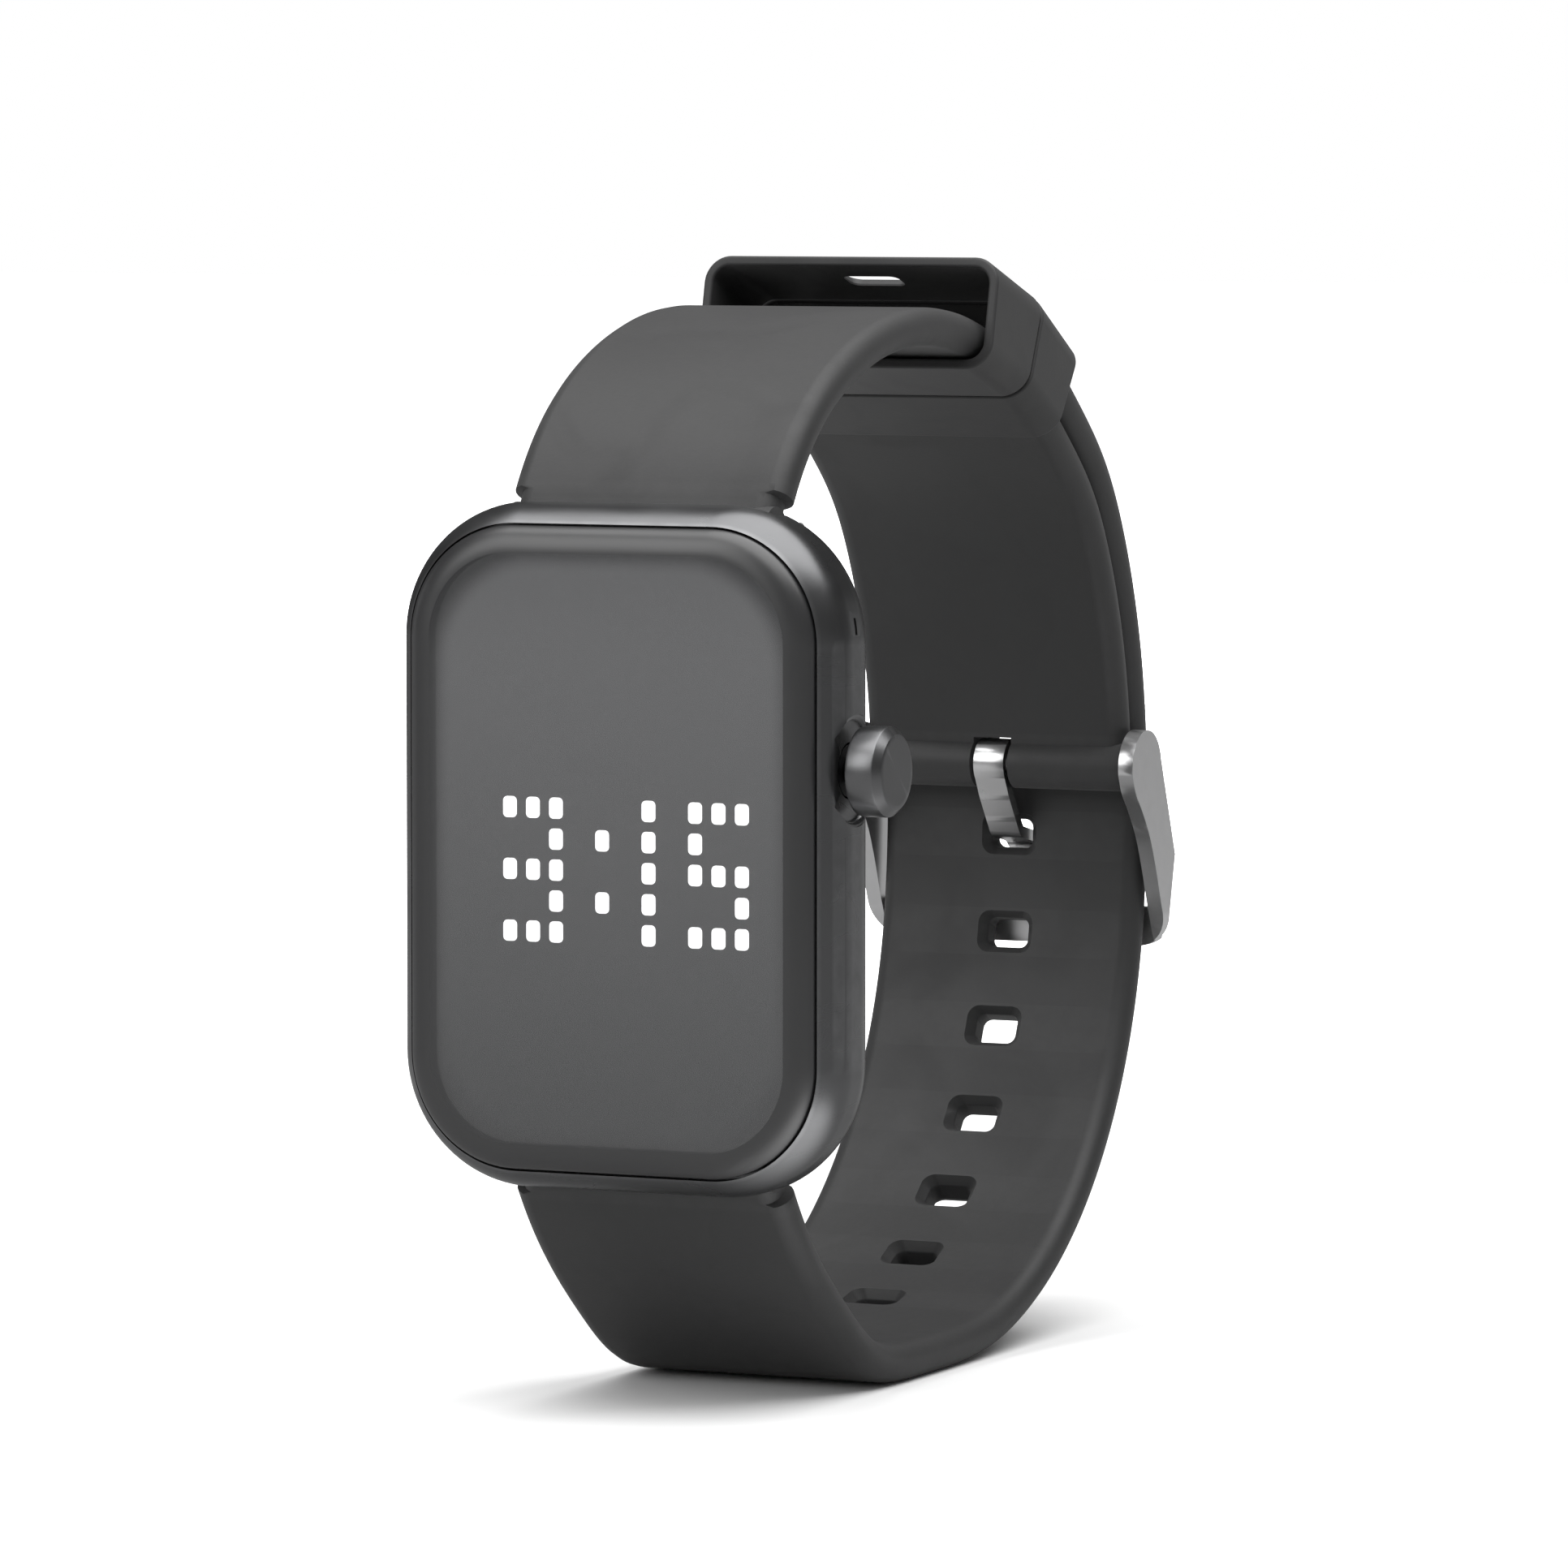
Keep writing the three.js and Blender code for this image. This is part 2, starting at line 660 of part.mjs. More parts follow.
function sensorWindow() {
  const radius = sensorRadius - fitGap;
  const back = coverBackY + sensorRise;
  return turnedAlongY([
    [0, coverSeatY + fitGap],
    [radius - 1, coverSeatY + fitGap],
    [radius - 1, windowSeatY + fitGap],
    [radius, windowSeatY + fitGap],
    [radius, back - 0.5],
    [radius - 0.5, back - 0.1],
    [radius - 1.4, back],
    [0, back],
  ], 0, 0, 40);
}

const rearScrew = ([x, z]) => turnedAlongY([
  [0, 1.5],
  [0.5, 1.5],
  [0.5, coverSeatY + 0.6],
  [1, coverSeatY + 0.6],
  [1, coverBackY - 0.3],
  [0, coverBackY - 0.3],
], x, z, 14);

const chargeContact = (x) => rodAlongY(0.8, coverSeatY, coverBackY + 0.1, x, contactZ, 16);

// ---- Crown -----------------------------------------------------------------------------------
const crownEnd = caseWidth / 2 + crownReach;
const crownStart = crownEnd - crownHead;
const sleeveLeft = cavityHalfX + 0.2;
const sealX = (sleeveLeft + crownWellX) / 2;

function crownCap() {
  const socket = shaftRadius + fitGap;
  return turnedAlongX([
    [0, crownStart + socketDepth],
    [socket, crownStart + socketDepth],
    [socket, crownStart],
    [crownRadius, crownStart],
    [crownRadius, crownEnd - crownChamfer],
    [crownRadius - crownChamfer, crownEnd],
    [0, crownEnd],
  ], 0, crownHeight, 40);
}

function crownShaft() {
  const waist = shaftRadius - grooveDepth;
  const clipStart = shaftEnd + grooveStart;
  const shaftTop = crownStart + socketDepth - 0.15;
  return turnedAlongX([
    [0, shaftEnd],
    [shaftRadius, shaftEnd],
    [shaftRadius, clipStart],
    [waist, clipStart],
    [waist, clipStart + clipGroove],
    [shaftRadius, clipStart + clipGroove],
    [shaftRadius, sealX - sealHalfWidth],
    [waist, sealX - sealHalfWidth],
    [waist, sealX + sealHalfWidth],
    [shaftRadius, sealX + sealHalfWidth],
    [shaftRadius, shaftTop],
    [0, shaftTop],
  ], 0, crownHeight, 20);
}

function crownRing() {
  const ring = new THREE.TorusGeometry(shaftRadius - 0.1, 0.21, 8, 20);
  return ring.rotateY(Math.PI / 2).translate(sealX, 0, crownHeight);
}

function crownClip() {
  const play = 0.08;
  const left = shaftEnd + grooveStart + play;
  const right = shaftEnd + grooveStart + clipGroove - play;
  const inner = shaftRadius - 0.25;
  return cut(
    rodAlongX(sleeveRadius - 0.45, left, right, 0, crownHeight, 20),
    rodAlongX(inner, left - 1, right + 1, 0, crownHeight, 16),
    block(left - 1, right + 1, -inner + 0.1, inner - 0.1, crownHeight - 2, crownHeight),
  );
}

const crownSleeve = () => cut(
  rodAlongX(sleeveRadius, sleeveLeft, crownWellX - 0.05, 0, crownHeight),
  rodAlongX(shaftRadius + shaftGap, sleeveLeft - 1, crownWellX + 1, 0, crownHeight),
);

// ---- Strap -------------------------------------------------------------------------------------
const lugWidth = strapWidth - 1.2; // strap end inside the case's recess
const shoulderAlong = (caseHeight / 2 - barZ) + 0.5;
const slotHalfWidth = tongueWidth / 2 + runGap;

const springBar = (z) => rodAlongX(
  barRadius, -lugHalfX - barEngagement, lugHalfX + barEngagement, barDepth, z, 20);

// Tube at a strap end, bored for its bar.
const endTube = (halfWidth, { y, z }) => rodAlongX(tubeRadius, -halfWidth, halfWidth, y, z, 24);
const endBore = ({ y, z }) => rodAlongX(
  barRadius + fitGap, -strapWidth, strapWidth, y, z, 20);

// A point on the track shortly before and after the place where the strap widens.
function withShoulder(track, along) {
  const extra = [track.at(along - 0.1), track.at(along + 0.1)];
  const others = track.points.filter((p) => Math.abs(p.along - along) > 0.4);
  return [...others, ...extra].sort((a, b) => a.along - b.along);
}

function upperStrap() {
  const start = upperTrack.points[0];
  const points = withShoulder(upperTrack, shoulderAlong);
  const widthAt = (along) => (along < shoulderAlong ? lugWidth : strapWidth) / 2;
  return cut(
    join(
      band(points, widthAt),
      endTube(lugWidth / 2, start),
      endTube(strapWidth / 2, buckleBar),
    ),
    endBore(start),
    endBore(buckleBar),
    tongueSlot(),
  );
}

// Slot through the buckle end of the upper strap, where the tongue turns on the bar.
function tongueSlot() {
  const beyond = 3;
  return block(
    -slotHalfWidth, slotHalfWidth, buckleBar.y - beyond, buckleBar.y + beyond,
    buckleBar.z - beyond, buckleBar.z + tubeRadius + runGap);
}

function lowerStrap() {
  const end = lowerTrack.here();
  const shoulder = end.along - shoulderAlong;
  const widthAt = (along) => {
    if (along > shoulder) return lugWidth / 2;
    if (along >= tipLength) return strapWidth / 2;
    const fromTip = 1 - along / tipLength;
    return strapWidth / 2
      - (strapWidth / 2 - tipHalfWidth) * (1 - Math.sqrt(1 - fromTip ** 2));
  };
  const tipPoints = [0, 0.4, 1.2, 2.4, 4.2, tipLength].map((along) => lowerTrack.at(along));
  const points = withShoulder(lowerTrack, shoulder).filter((p) => p.along > tipLength + 0.5);
  return cut(
    join(band([...tipPoints, ...points], widthAt), endTube(lugWidth / 2, end)),
    endBore(end),
    ...strapHoles(),
  );
}

const fastenedAlong = lowerTrack.besideBar + fastenedDrop;

function strapHoles() {
  const holes = [];
  for (let i = 1; i <= holeCount; i += 1) {
    const place = lowerTrack.at(fastenedAlong + (i - fastenedHole) * holePitch);
    const punch = slab(
      holeWidth / 2, holeLength / 2, holeCorner, -strapThickness, strapThickness);
    punch.rotateX(degrees(place.heading - 90));
    holes.push(punch.translate(0, place.y, place.z));
  }
  return holes;
}

// ---- Keepers -----------------------------------------------------------------------------------
const keeperInner = crest.radius - strapThickness / 2 - keeperSideGap;
const keeperOuter = crest.radius + layerPitch + strapThickness / 2 + keeperPlay;

// Rounded rectangle across the strap, lying in the plane through the crest bend's axis.
function keeperRing(angle, grow, corner) {
  const low = keeperInner - grow;
  const high = keeperOuter + grow;
  const halfX = strapWidth / 2 + keeperSideGap + grow;
  return roundedOutline(halfX, (high - low) / 2, corner, 5).map(([u, v]) => {
    const radial = (low + high) / 2 + v;
    return new THREE.Vector3(
      u,
      crest.y + radial * Math.sin(degrees(angle)),
      crest.z + radial * Math.cos(degrees(angle)),
    );
  });
}

// Keeper with flat outer faces and an opening that follows the crest bend.
function keeper({ lead, trail }) {
  const spare = 2;
  const steps = 6;
  const opening = [];
  for (let i = 0; i <= steps; i += 1) {
    const angle = trail + spare - (trail - lead + 2 * spare) * i / steps;
    opening.push(keeperRing(angle, 0, keeperCorner - keeperWall));
  }
  const shell = [trail, lead].map((angle) => keeperRing(angle, keeperWall, keeperCorner));
  return cut(loft(shell), loft(opening));
}

function freeKeeperRing() {
  const angle = (freeKeeper.lead + freeKeeper.trail) / 2;
  const window = new THREE.BoxGeometry(holeWidth + 1.2, holeLength + 0.3, 4);
  window.translate(0, 0, keeperOuter);
  window.rotateX(degrees(-angle));
  window.translate(0, crest.y, crest.z);
  return cut(keeper(freeKeeper), window);
}

// ---- Buckle ------------------------------------------------------------------------------------
// Both outlines are [y, z] from the bar. The lower strap lies between the bar and the crossbar.
const armInnerX = strapWidth / 2 + armGap;
const armOuterX = armInnerX + armThickness;
const crossbarZ = buckleBar.z - buckleLength + crossbarHeight / 2;
const strapAtCrossbar = lowerTrack.points.find((p) => p.z < crossbarZ && p.y > crest.y);
const crossbarFront = strapAtCrossbar.y + strapThickness / 2 + crossbarGap - buckleBar.y;
const crossbarBack = crossbarFront + crossbarThickness;

function fromBar(points) {
  return points.map(([y, z]) => [buckleBar.y + y, buckleBar.z + z]);
}

function armOutline() {
  const points = [];
  const headSteps = 10;
  for (let i = 0; i <= headSteps; i += 1) {
    const angle = degrees(10 + 180 * i / headSteps);
    points.push([armHeadRadius * Math.cos(angle), armHeadRadius * Math.sin(angle)]);
  }
  return fromBar([
    ...points,
    [-2.05, -1.7],
    [-0.8, -3.3],
    [0.5, -5.2],
    [1.8, -7.7],
    [2.6, -10.2],
    [crossbarFront - crossbarThickness, -buckleLength],
    [crossbarBack, -buckleLength],
    [crossbarBack, -buckleLength * armFoot],
  ]);
}

function buckleFrame() {
  const left = sidePlate(armOutline(), -armOuterX, -armInnerX);
  const right = sidePlate(armOutline(), armInnerX, armOuterX);
  const crossbar = block(
    -armOuterX, armOuterX, buckleBar.y + crossbarFront, buckleBar.y + crossbarBack,
    buckleBar.z - buckleLength, buckleBar.z - buckleLength + crossbarHeight);
  const socketDepth = armThickness * 0.7;
  const socket = rodAlongX(
    barRadius + fitGap, -armInnerX - socketDepth, armInnerX + socketDepth,
    buckleBar.y, buckleBar.z, 20);
  const notch = block(
    -slotHalfWidth, slotHalfWidth,
    buckleBar.y + crossbarBack - tongueNotch, buckleBar.y + crossbarBack + 1,
    buckleBar.z - buckleLength - 1, buckleBar.z);
  return cut(join(left, crossbar, right), socket, notch);
}

const buckleBarRod = () => rodAlongX(
  barRadius, -armInnerX - armThickness * 0.55, armInnerX + armThickness * 0.55,
  buckleBar.y, buckleBar.z, 20);

// Outline of a bent strip of even thickness that follows a line of points.
function stripOutline(line, thickness) {
  const side = (sign) => line.map(([y, z], i) => {
    const [a, b] = [line[Math.max(0, i - 1)], line[Math.min(line.length - 1, i + 1)]];
    const before = new THREE.Vector2(y - a[0], z - a[1]);
    const after = new THREE.Vector2(b[0] - y, b[1] - z);
    const first = (before.length() > 0 ? before : after).clone().normalize();
    const second = (after.length() > 0 ? after : before).clone().normalize();
    const mitre = first.clone().add(second).normalize();
    const reach = sign * thickness / 2 / mitre.dot(first);
    return [y - mitre.y * reach, z + mitre.x * reach];
  });
  return [...side(1), ...side(-1).reverse()];
}

function buckleTongue() {
  const holeZ = lowerTrack.at(fastenedAlong).z - buckleBar.z;
  const tipY = crossbarBack - tongueNotch + fitGap + tongueThickness / 2;
  const line = [
    [-1.1, -0.6],
    [-0.6, -2.2],
    [0.35, holeZ + 1.1],
    [1.2, holeZ + 0.05],
    [crossbarFront - 0.1, holeZ],
    [tipY - 0.1, holeZ - 0.8],
    [tipY, -buckleLength + 1],
  ];
  const strip = sidePlate(
    fromBar(stripOutline(line, tongueThickness)), -tongueWidth / 2, tongueWidth / 2);
  const eye = rodAlongX(
    tubeRadius, -tongueWidth / 2, tongueWidth / 2, buckleBar.y, buckleBar.z, 24);
  return cut(join(eye, strip), endBore(buckleBar));
}

// ---- Finishes and assembly -----------------------------------------------------------------------
const finish = (color, roughness, metalness) => ({ color, roughness, metalness });
const finishes = {
  frameMetal: finish(0x47484a, 0.34, 0.85),
  crownMetal: finish(0x55565a, 0.3, 0.9),
  smokedGlass: finish(0x3c3d3f, 0.12, 0),
  screen: finish(0x0c0c0e, 0.3, 0),
  silicone: finish(0x3b3c3e, 0.62, 0),
  polishedSteel: finish(0xc4c5c8, 0.2, 1),
  plastic: finish(0x232426, 0.5, 0),
  seal: finish(0x161616, 0.8, 0),
  circuitBoard: finish(0x1d4a33, 0.55, 0),
  cellFoil: finish(0x9ea2a6, 0.35, 0.6),
  gold: finish(0xc9a35a, 0.3, 1),
  sensorGlass: finish(0x101216, 0.08, 0),
};

const watch = new THREE.Group();
const body = new THREE.Group();
watch.add(body);

function add(name, geometry, finishName) {
  const mesh = new THREE.Mesh(geometry, new THREE.MeshStandardMaterial(finishes[finishName]));
  mesh.name = name;
  body.add(mesh);
}

add('case_shell', caseShell(), 'frameMetal');
add('front_glass', frontGlass(), 'smokedGlass');
add('glass_gasket', glassGasket(), 'seal');
add('display_panel', displayPanel(), 'screen');
add('inner_frame', innerFrame(), 'plastic');
add('main_board', mainBoard(), 'circuitBoard');
add('processor_shield', processorShield(), 'polishedSteel');
add('battery', battery(), 'cellFoil');
add('vibration_motor', vibrationMotor(), 'polishedSteel');
add('microphone', microphone(), 'polishedSteel');
add('crown_switch', crownSwitch(), 'plastic');
add('sensor_board', sensorBoard(), 'circuitBoard');
add('optical_sensor', opticalSensor(), 'screen');
add('rear_gasket', rearGasket(), 'seal');
add('rear_cover', rearCover(), 'plastic');
add('sensor_window', sensorWindow(), 'sensorGlass');
screwSpots.forEach((spot, i) => add(`rear_screw_${i + 1}`, rearScrew(spot), 'polishedSteel'));
for (const [side, x] of contactSpots) add(`charge_contact_${side}`, chargeContact(x), 'gold');
add('crown_cap', crownCap(), 'crownMetal');
add('crown_shaft', crownShaft(), 'polishedSteel');
add('crown_o_ring', crownRing(), 'seal');
add('crown_clip', crownClip(), 'polishedSteel');
add('crown_sleeve', crownSleeve(), 'polishedSteel');
add('upper_spring_bar', springBar(barZ), 'polishedSteel');
add('lower_spring_bar', springBar(-barZ), 'polishedSteel');
add('upper_strap', upperStrap(), 'silicone');
add('lower_strap', lowerStrap(), 'silicone');
add('free_keeper', freeKeeperRing(), 'silicone');
add('fixed_keeper', keeper(fixedKeeper), 'silicone');
add('buckle_frame', buckleFrame(), 'polishedSteel');
add('buckle_bar', buckleBarRod(), 'polishedSteel');
add('buckle_tongue', buckleTongue(), 'polishedSteel');

// Set the watch down: middle of its box over the origin, lowest face of the strap on Z = 0.
const box = new THREE.Box3().setFromObject(watch);
const middle = box.getCenter(new THREE.Vector3());
body.position.set(-middle.x, -middle.y, -box.min.z);

export default watch;
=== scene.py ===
import math

import bmesh
import bpy
from bpy.props import FloatProperty, FloatVectorProperty, PointerProperty
from mathutils import Matrix, Vector


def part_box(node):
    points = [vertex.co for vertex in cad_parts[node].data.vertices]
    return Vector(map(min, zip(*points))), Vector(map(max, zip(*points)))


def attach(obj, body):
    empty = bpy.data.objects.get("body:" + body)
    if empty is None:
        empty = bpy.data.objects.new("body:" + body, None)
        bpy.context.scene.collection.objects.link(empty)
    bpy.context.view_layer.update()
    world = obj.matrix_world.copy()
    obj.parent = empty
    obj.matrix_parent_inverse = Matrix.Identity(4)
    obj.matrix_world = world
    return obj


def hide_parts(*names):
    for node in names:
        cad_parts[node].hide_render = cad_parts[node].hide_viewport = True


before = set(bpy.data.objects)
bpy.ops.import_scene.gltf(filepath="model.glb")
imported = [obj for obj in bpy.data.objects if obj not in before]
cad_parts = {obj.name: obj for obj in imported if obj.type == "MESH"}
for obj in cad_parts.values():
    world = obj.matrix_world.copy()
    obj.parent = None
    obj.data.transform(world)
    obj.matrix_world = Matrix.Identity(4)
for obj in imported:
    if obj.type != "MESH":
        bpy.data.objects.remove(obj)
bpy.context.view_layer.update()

bl_info = {
    "name": "Smartwatch maker",
    "version": (1, 0, 0),
    "blender": (4, 5, 0),
    "location": "View3D > Sidebar > Smartwatch",
    "description": "Builds the finished pieces of a smartwatch round its packed frame",
    "category": "Object",
}

MM = 0.001
SHELL_LOW, SHELL_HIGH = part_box("case_shell")
FRAME_HALF_DEPTH = 4.1 * MM
# Middle of the case. Every place below is counted from it.
CENTRE = Vector((
    (SHELL_LOW.x + SHELL_HIGH.x) / 2,
    SHELL_HIGH.y - FRAME_HALF_DEPTH,
    (SHELL_LOW.z + SHELL_HIGH.z) / 2,
))
# Gaps between fixed parts, moving parts, and the strap and the lugs or the buckle.
FIT_GAP = 0.15 * MM
RUN_GAP = 0.3 * MM
LUG_GAP = 0.4 * MM
# Space between the strap's outer face and what runs over it.
OVER_STRAP = 0.45 * MM
# Top of a rear screw's head, where the screw is drawn at the world's origin.
SCREW_TOP = 1.45 * MM


# ---- Sizes and colours ------------------------------------------------------------------
def length(label, words, millimetres):
    return FloatProperty(
        name=label, description=words, default=millimetres * MM, unit="LENGTH", precision=5)


def turn(label, words, degrees):
    return FloatProperty(
        name=label, description=words, default=math.radians(degrees), unit="ROTATION",
        subtype="ANGLE")


def colour(label, words, value):
    return FloatVectorProperty(
        name=label, description=words, default=(*value, 1.0), size=4, subtype="COLOR",
        min=0.0, max=1.0)


def amount(label, words, value):
    return FloatProperty(name=label, description=words, default=value, min=0.0)


class CaseSizes(bpy.types.PropertyGroup):
    """Sizes of the case's frame."""

    width: length("Width", "Width of the case without its crown", 31.9)
    height: length("Height", "Height of the case", 45)
    corner: length("Corner", "Radius of the case's corners, seen from the front", 8.9)
    rounding: length("Rounding", "Radius that rounds the frame's sides", 3.5)
    seam_inset: length("Seam inset", "Case outline to the seam round the glass", 1.3)
    side_wall: length("Side wall", "Case outline to the cavity", 2.75)
    edge: length("Edge", "Width of the small bevel on cut edges", 0.09)


class GlassSizes(bpy.types.PropertyGroup):
    """Sizes of the cover glass and the screen."""

    thickness: length("Thickness", "Thickness of the flat glass", 0.8)
    dome: length("Dome", "Rise of the flat glass above its seam", 1.1)
    bend: length("Bend", "Width of the bent edge", 1.9)
    rim: length("Rim", "Depth of the glass below its seam", 0.7)
    screen_border: length("Screen border", "Glass edge to screen edge", 1.45)
    # The screen's glow, a painted reflection, fades out over this width at its border.
    painted_reflection_fade: length("Screen fade", "Width over which the glow fades at its edge", 1.8)
    tile_width: length("Tile width", "Width of one lit tile", 0.98)
    tile_height: length("Tile height", "Height of one lit tile", 1.38)
    tile_corner: length("Tile corner", "Radius of a tile's corners", 0.3)
    column_pitch: length("Column pitch", "Step between columns of tiles", 1.67)
    row_pitch: length("Row pitch", "Step between rows of tiles", 2.02)
    digits_right: length("Digits right", "Middle of the digits from the case's middle", 1.2)
    digits_up: length("Digits up", "Middle of the digits above the case's middle", -1.32)


class CrownSizes(bpy.types.PropertyGroup):
    """Sizes of the crown."""

    height: length("Height", "Crown's axis above the middle of the case", 5.5)
    radius: length("Radius", "Radius of the crown", 2.94)
    reach: length("Reach", "End of the crown beyond the case's side", 2.85)
    head: length("Head", "Length of the crown outside the case", 2.45)
    chamfer: length("Chamfer", "Bevel round the crown's end", 0.5)
    well: length("Well", "Depth of the crown's well in the case", 0.5)
    shaft: length("Shaft", "Radius of the crown's shaft", 0.8)


class StrapSizes(bpy.types.PropertyGroup):
    """Sizes of the strap and its keepers."""

    width: length("Width", "Width of the strap", 20)
    thickness: length("Thickness", "Thickness of the strap", 2.6)
    layer_gap: length("Layer gap", "Space between the two layers at the back", 0.35)
    bar: length("Bar", "Radius of the pins in the strap's ends", 0.75)
    tube: length("Tube", "Radius of a strap end that is wrapped round its pin", 1.75)
    hole_pitch: length("Hole pitch", "Step between holes", 7.2)
    hole_width: length("Hole width", "Hole's width across the strap", 3.1)
    hole_length: length("Hole length", "Hole's length along the strap", 2.1)
    hole_recess: length("Hole recess", "Width of the moulded bevel round a hole", 0.55)
    keeper_wall: length("Keeper wall", "Thickness of a keeper", 0.7)
    keeper_gap: length("Keeper gap", "Space between the strap and a keeper", 0.35)
    keeper_corner: length("Keeper corner", "Outer radius of a keeper's corners", 1.9)


class BuckleSizes(bpy.types.PropertyGroup):
    """Sizes of the buckle."""

    length: length("Length", "Pin to the crossbar's lower edge", 13.1)
    arm: length("Arm", "Thickness of an arm", 1.1)
    head: length("Head", "Radius of an arm's round end", 2.65)
    crossbar: length("Crossbar", "Thickness of the crossbar", 0.9)
    crossbar_height: length("Crossbar height", "Height of the crossbar", 2.8)
    tongue_width: length("Tongue width", "Width of the tongue", 2.3)
    tongue: length("Tongue", "Thickness of the tongue", 0.8)
    edge: length("Edge", "Width of the polished bevel", 0.2)
    taper: length("Taper", "Narrowing of an arm towards its lower end", 0.7)


class Finishes(bpy.types.PropertyGroup):
    """Colours of the finishes, with the screen's painted reflection and the crown shaft's
    painted shade.
    """

    case: colour("Case", "Satin metallic finish of the case", (0.14, 0.141, 0.144))
    crown: colour("Crown", "Finish of the crown", (0.16, 0.161, 0.164))
    silicone: colour("Silicone", "Strap and keepers", (0.0225, 0.0225, 0.023))
    silicone_worn: colour("Worn silicone", "Strap where it is handled", (0.032, 0.032, 0.0325))
    steel: colour("Steel", "Buckle and pins", (0.84, 0.84, 0.845))
    # Painted shade: the crown's shaft and sleeve get near-black steel so that the gap round the
    # crown reads as shadow.
    shade_darkened_steel: colour("Dark steel", "Crown's shaft and sleeve", (0.045, 0.045, 0.047))
    ink: colour("Ink", "Mask printed behind the glass's edge", (0.017, 0.017, 0.018))
    # The screen glow below is a painted reflection: emitted grey standing in for a softbox seen
    # in the glass, lighter at the top, darker at the bottom and at the border.
    painted_reflection_top: colour("Screen top", "Glow at the top of the screen", (0.125, 0.126, 0.128))
    painted_reflection_bottom: colour("Screen bottom", "Glow at the bottom", (0.047, 0.0475, 0.0485))
    painted_reflection_edge: colour("Screen edge", "Glow at the rounded border", (0.044, 0.044, 0.045))
    digits: colour("Digits", "Light of the digits", (1.0, 1.0, 1.0))
    cover: colour("Rear cover", "Moulded rear cover", (0.02, 0.021, 0.022))
    window: colour("Sensor window", "Dark glass over the pulse sensor", (0.004, 0.004, 0.006))
    gold: colour("Gold", "Charging contacts", (0.83, 0.62, 0.30))
    floor: colour("Floor", "Floor under the watch", (0.96, 0.96, 0.96))


class StageSizes(bpy.types.PropertyGroup):
    """Camera and lights."""

    azimuth: turn("Azimuth", "Direction of the camera, towards the crown's side", 25)
    elevation: turn("Elevation", "Height of the camera above the horizon", 4.2)
    distance: length("Distance", "Camera to the plane through the case", 582)
    right: length("Right", "Aim to the right of the case's middle", 9.765)
    up: length("Up", "Aim above the case's middle", 4.149)
    lens: amount("Lens", "Focal length in millimetres", 204.96)
    dome: amount("Dome", "Strength of the light from all round", 0.26)
    mirrored: amount("Mirrored", "Strength of the room seen in glossy surfaces", 0.07)
    floor_near: amount("Floor near", "Brightness of the floor close to the watch", 1.04)
    floor_far: amount("Floor far", "Brightness of the floor away from the lights", 5.0)
    floor_mirrored: amount("Floor mirrored", "Brightness of the floor in reflections", 0.3)
    # Painted highlight: a floor patch, bright only in reflections, that stands in for a lamp low
    # beside the crown.
    floor_painted_highlight: amount("Floor patch", "Brightness of the lit patch beside the crown", 1.5)


# ---- Meshes -----------------------------------------------------------------------------
def rounded_outline(half_u, half_v, corner, steps=24):
    """Rounded rectangle as pairs, turning from +u towards +v."""
    radius = max(0.05 * MM, min(corner, half_u, half_v))
    outline = []
    for quarter in range(4):
        sign_u = 1 if quarter in (0, 3) else -1
        sign_v = 1 if quarter < 2 else -1
        for i in range(steps + 1):
            angle = (quarter + i / steps) * math.pi / 2
            outline.append((
                sign_u * (half_u - radius) + radius * math.cos(angle),
                sign_v * (half_v - radius) + radius * math.sin(angle),
            ))
    return outline


def face_ring(half_x, half_z, corner, y):
    """Rounded rectangle that faces along Y."""
    return [CENTRE + Vector((u, y, v)) for u, v in rounded_outline(half_x, half_z, corner)]


def loft(rings, endless=False):
    """Vertices and faces through rings of equal length, with caps unless it is endless."""
    count = len(rings[0])
    faces = []
    for r in range(len(rings) if endless else len(rings) - 1):
        a, b = r * count, (r + 1) % len(rings) * count
        for i in range(count):
            j = (i + 1) % count
            faces.append((a + i, a + j, b + j, b + i))
    if not endless:
        last = (len(rings) - 1) * count
        faces.append(tuple(range(count)))
        faces.append(tuple(range(last, last + count)))
    return [point for ring in rings for point in ring], faces


def slab(half_x, half_z, corner, front, back):
    """Plate with rounded corners between two depths."""
    return loft([face_ring(half_x, half_z, corner, y) for y in (front, back)])


def block(left, right, front, back, bottom, top):
    """Box between six planes."""
    ring = [(left, bottom), (right, bottom), (right, top), (left, top)]
    return loft([[CENTRE + Vector((x, y, z)) for x, z in ring] for y in (front, back)])


def turned(profile, axis, place, sides):
    """Body turned about X or Y, from (radius, along) pairs that start and end on the axis."""
    verts, rings, faces = [], [], []
    for radius, along in profile:
        count = 1 if radius == 0 else sides
        rings.append(range(len(verts), len(verts) + count))
        for i in range(count):
            angle = 2 * math.pi * i / sides
            a, b = radius * math.cos(angle), radius * math.sin(angle)
            if axis == "X":
                point = Vector((along, place[0] + a, place[1] + b))
            else:
                point = Vector((place[0] + a, along, place[1] + b))
            verts.append(CENTRE + point)
    for lower, upper in zip(rings, rings[1:]):
        for i in range(sides):
            j = (i + 1) % sides
            corners = [
                lower[i % len(lower)], lower[j % len(lower)],
                upper[j % len(upper)], upper[i % len(upper)],
            ]
            faces.append(tuple(dict.fromkeys(corners)))
    return verts, faces


def rod(radius, start, end, axis, place, sides=48):
    """Plain round bar."""
    return turned([(0, start), (radius, start), (radius, end), (0, end)], axis, place, sides)


def side_plate(points, left, right):
    """Outline of (y, z) points between two X values."""
    return loft([[CENTRE + Vector((x, y, z)) for y, z in points] for x in (left, right)])


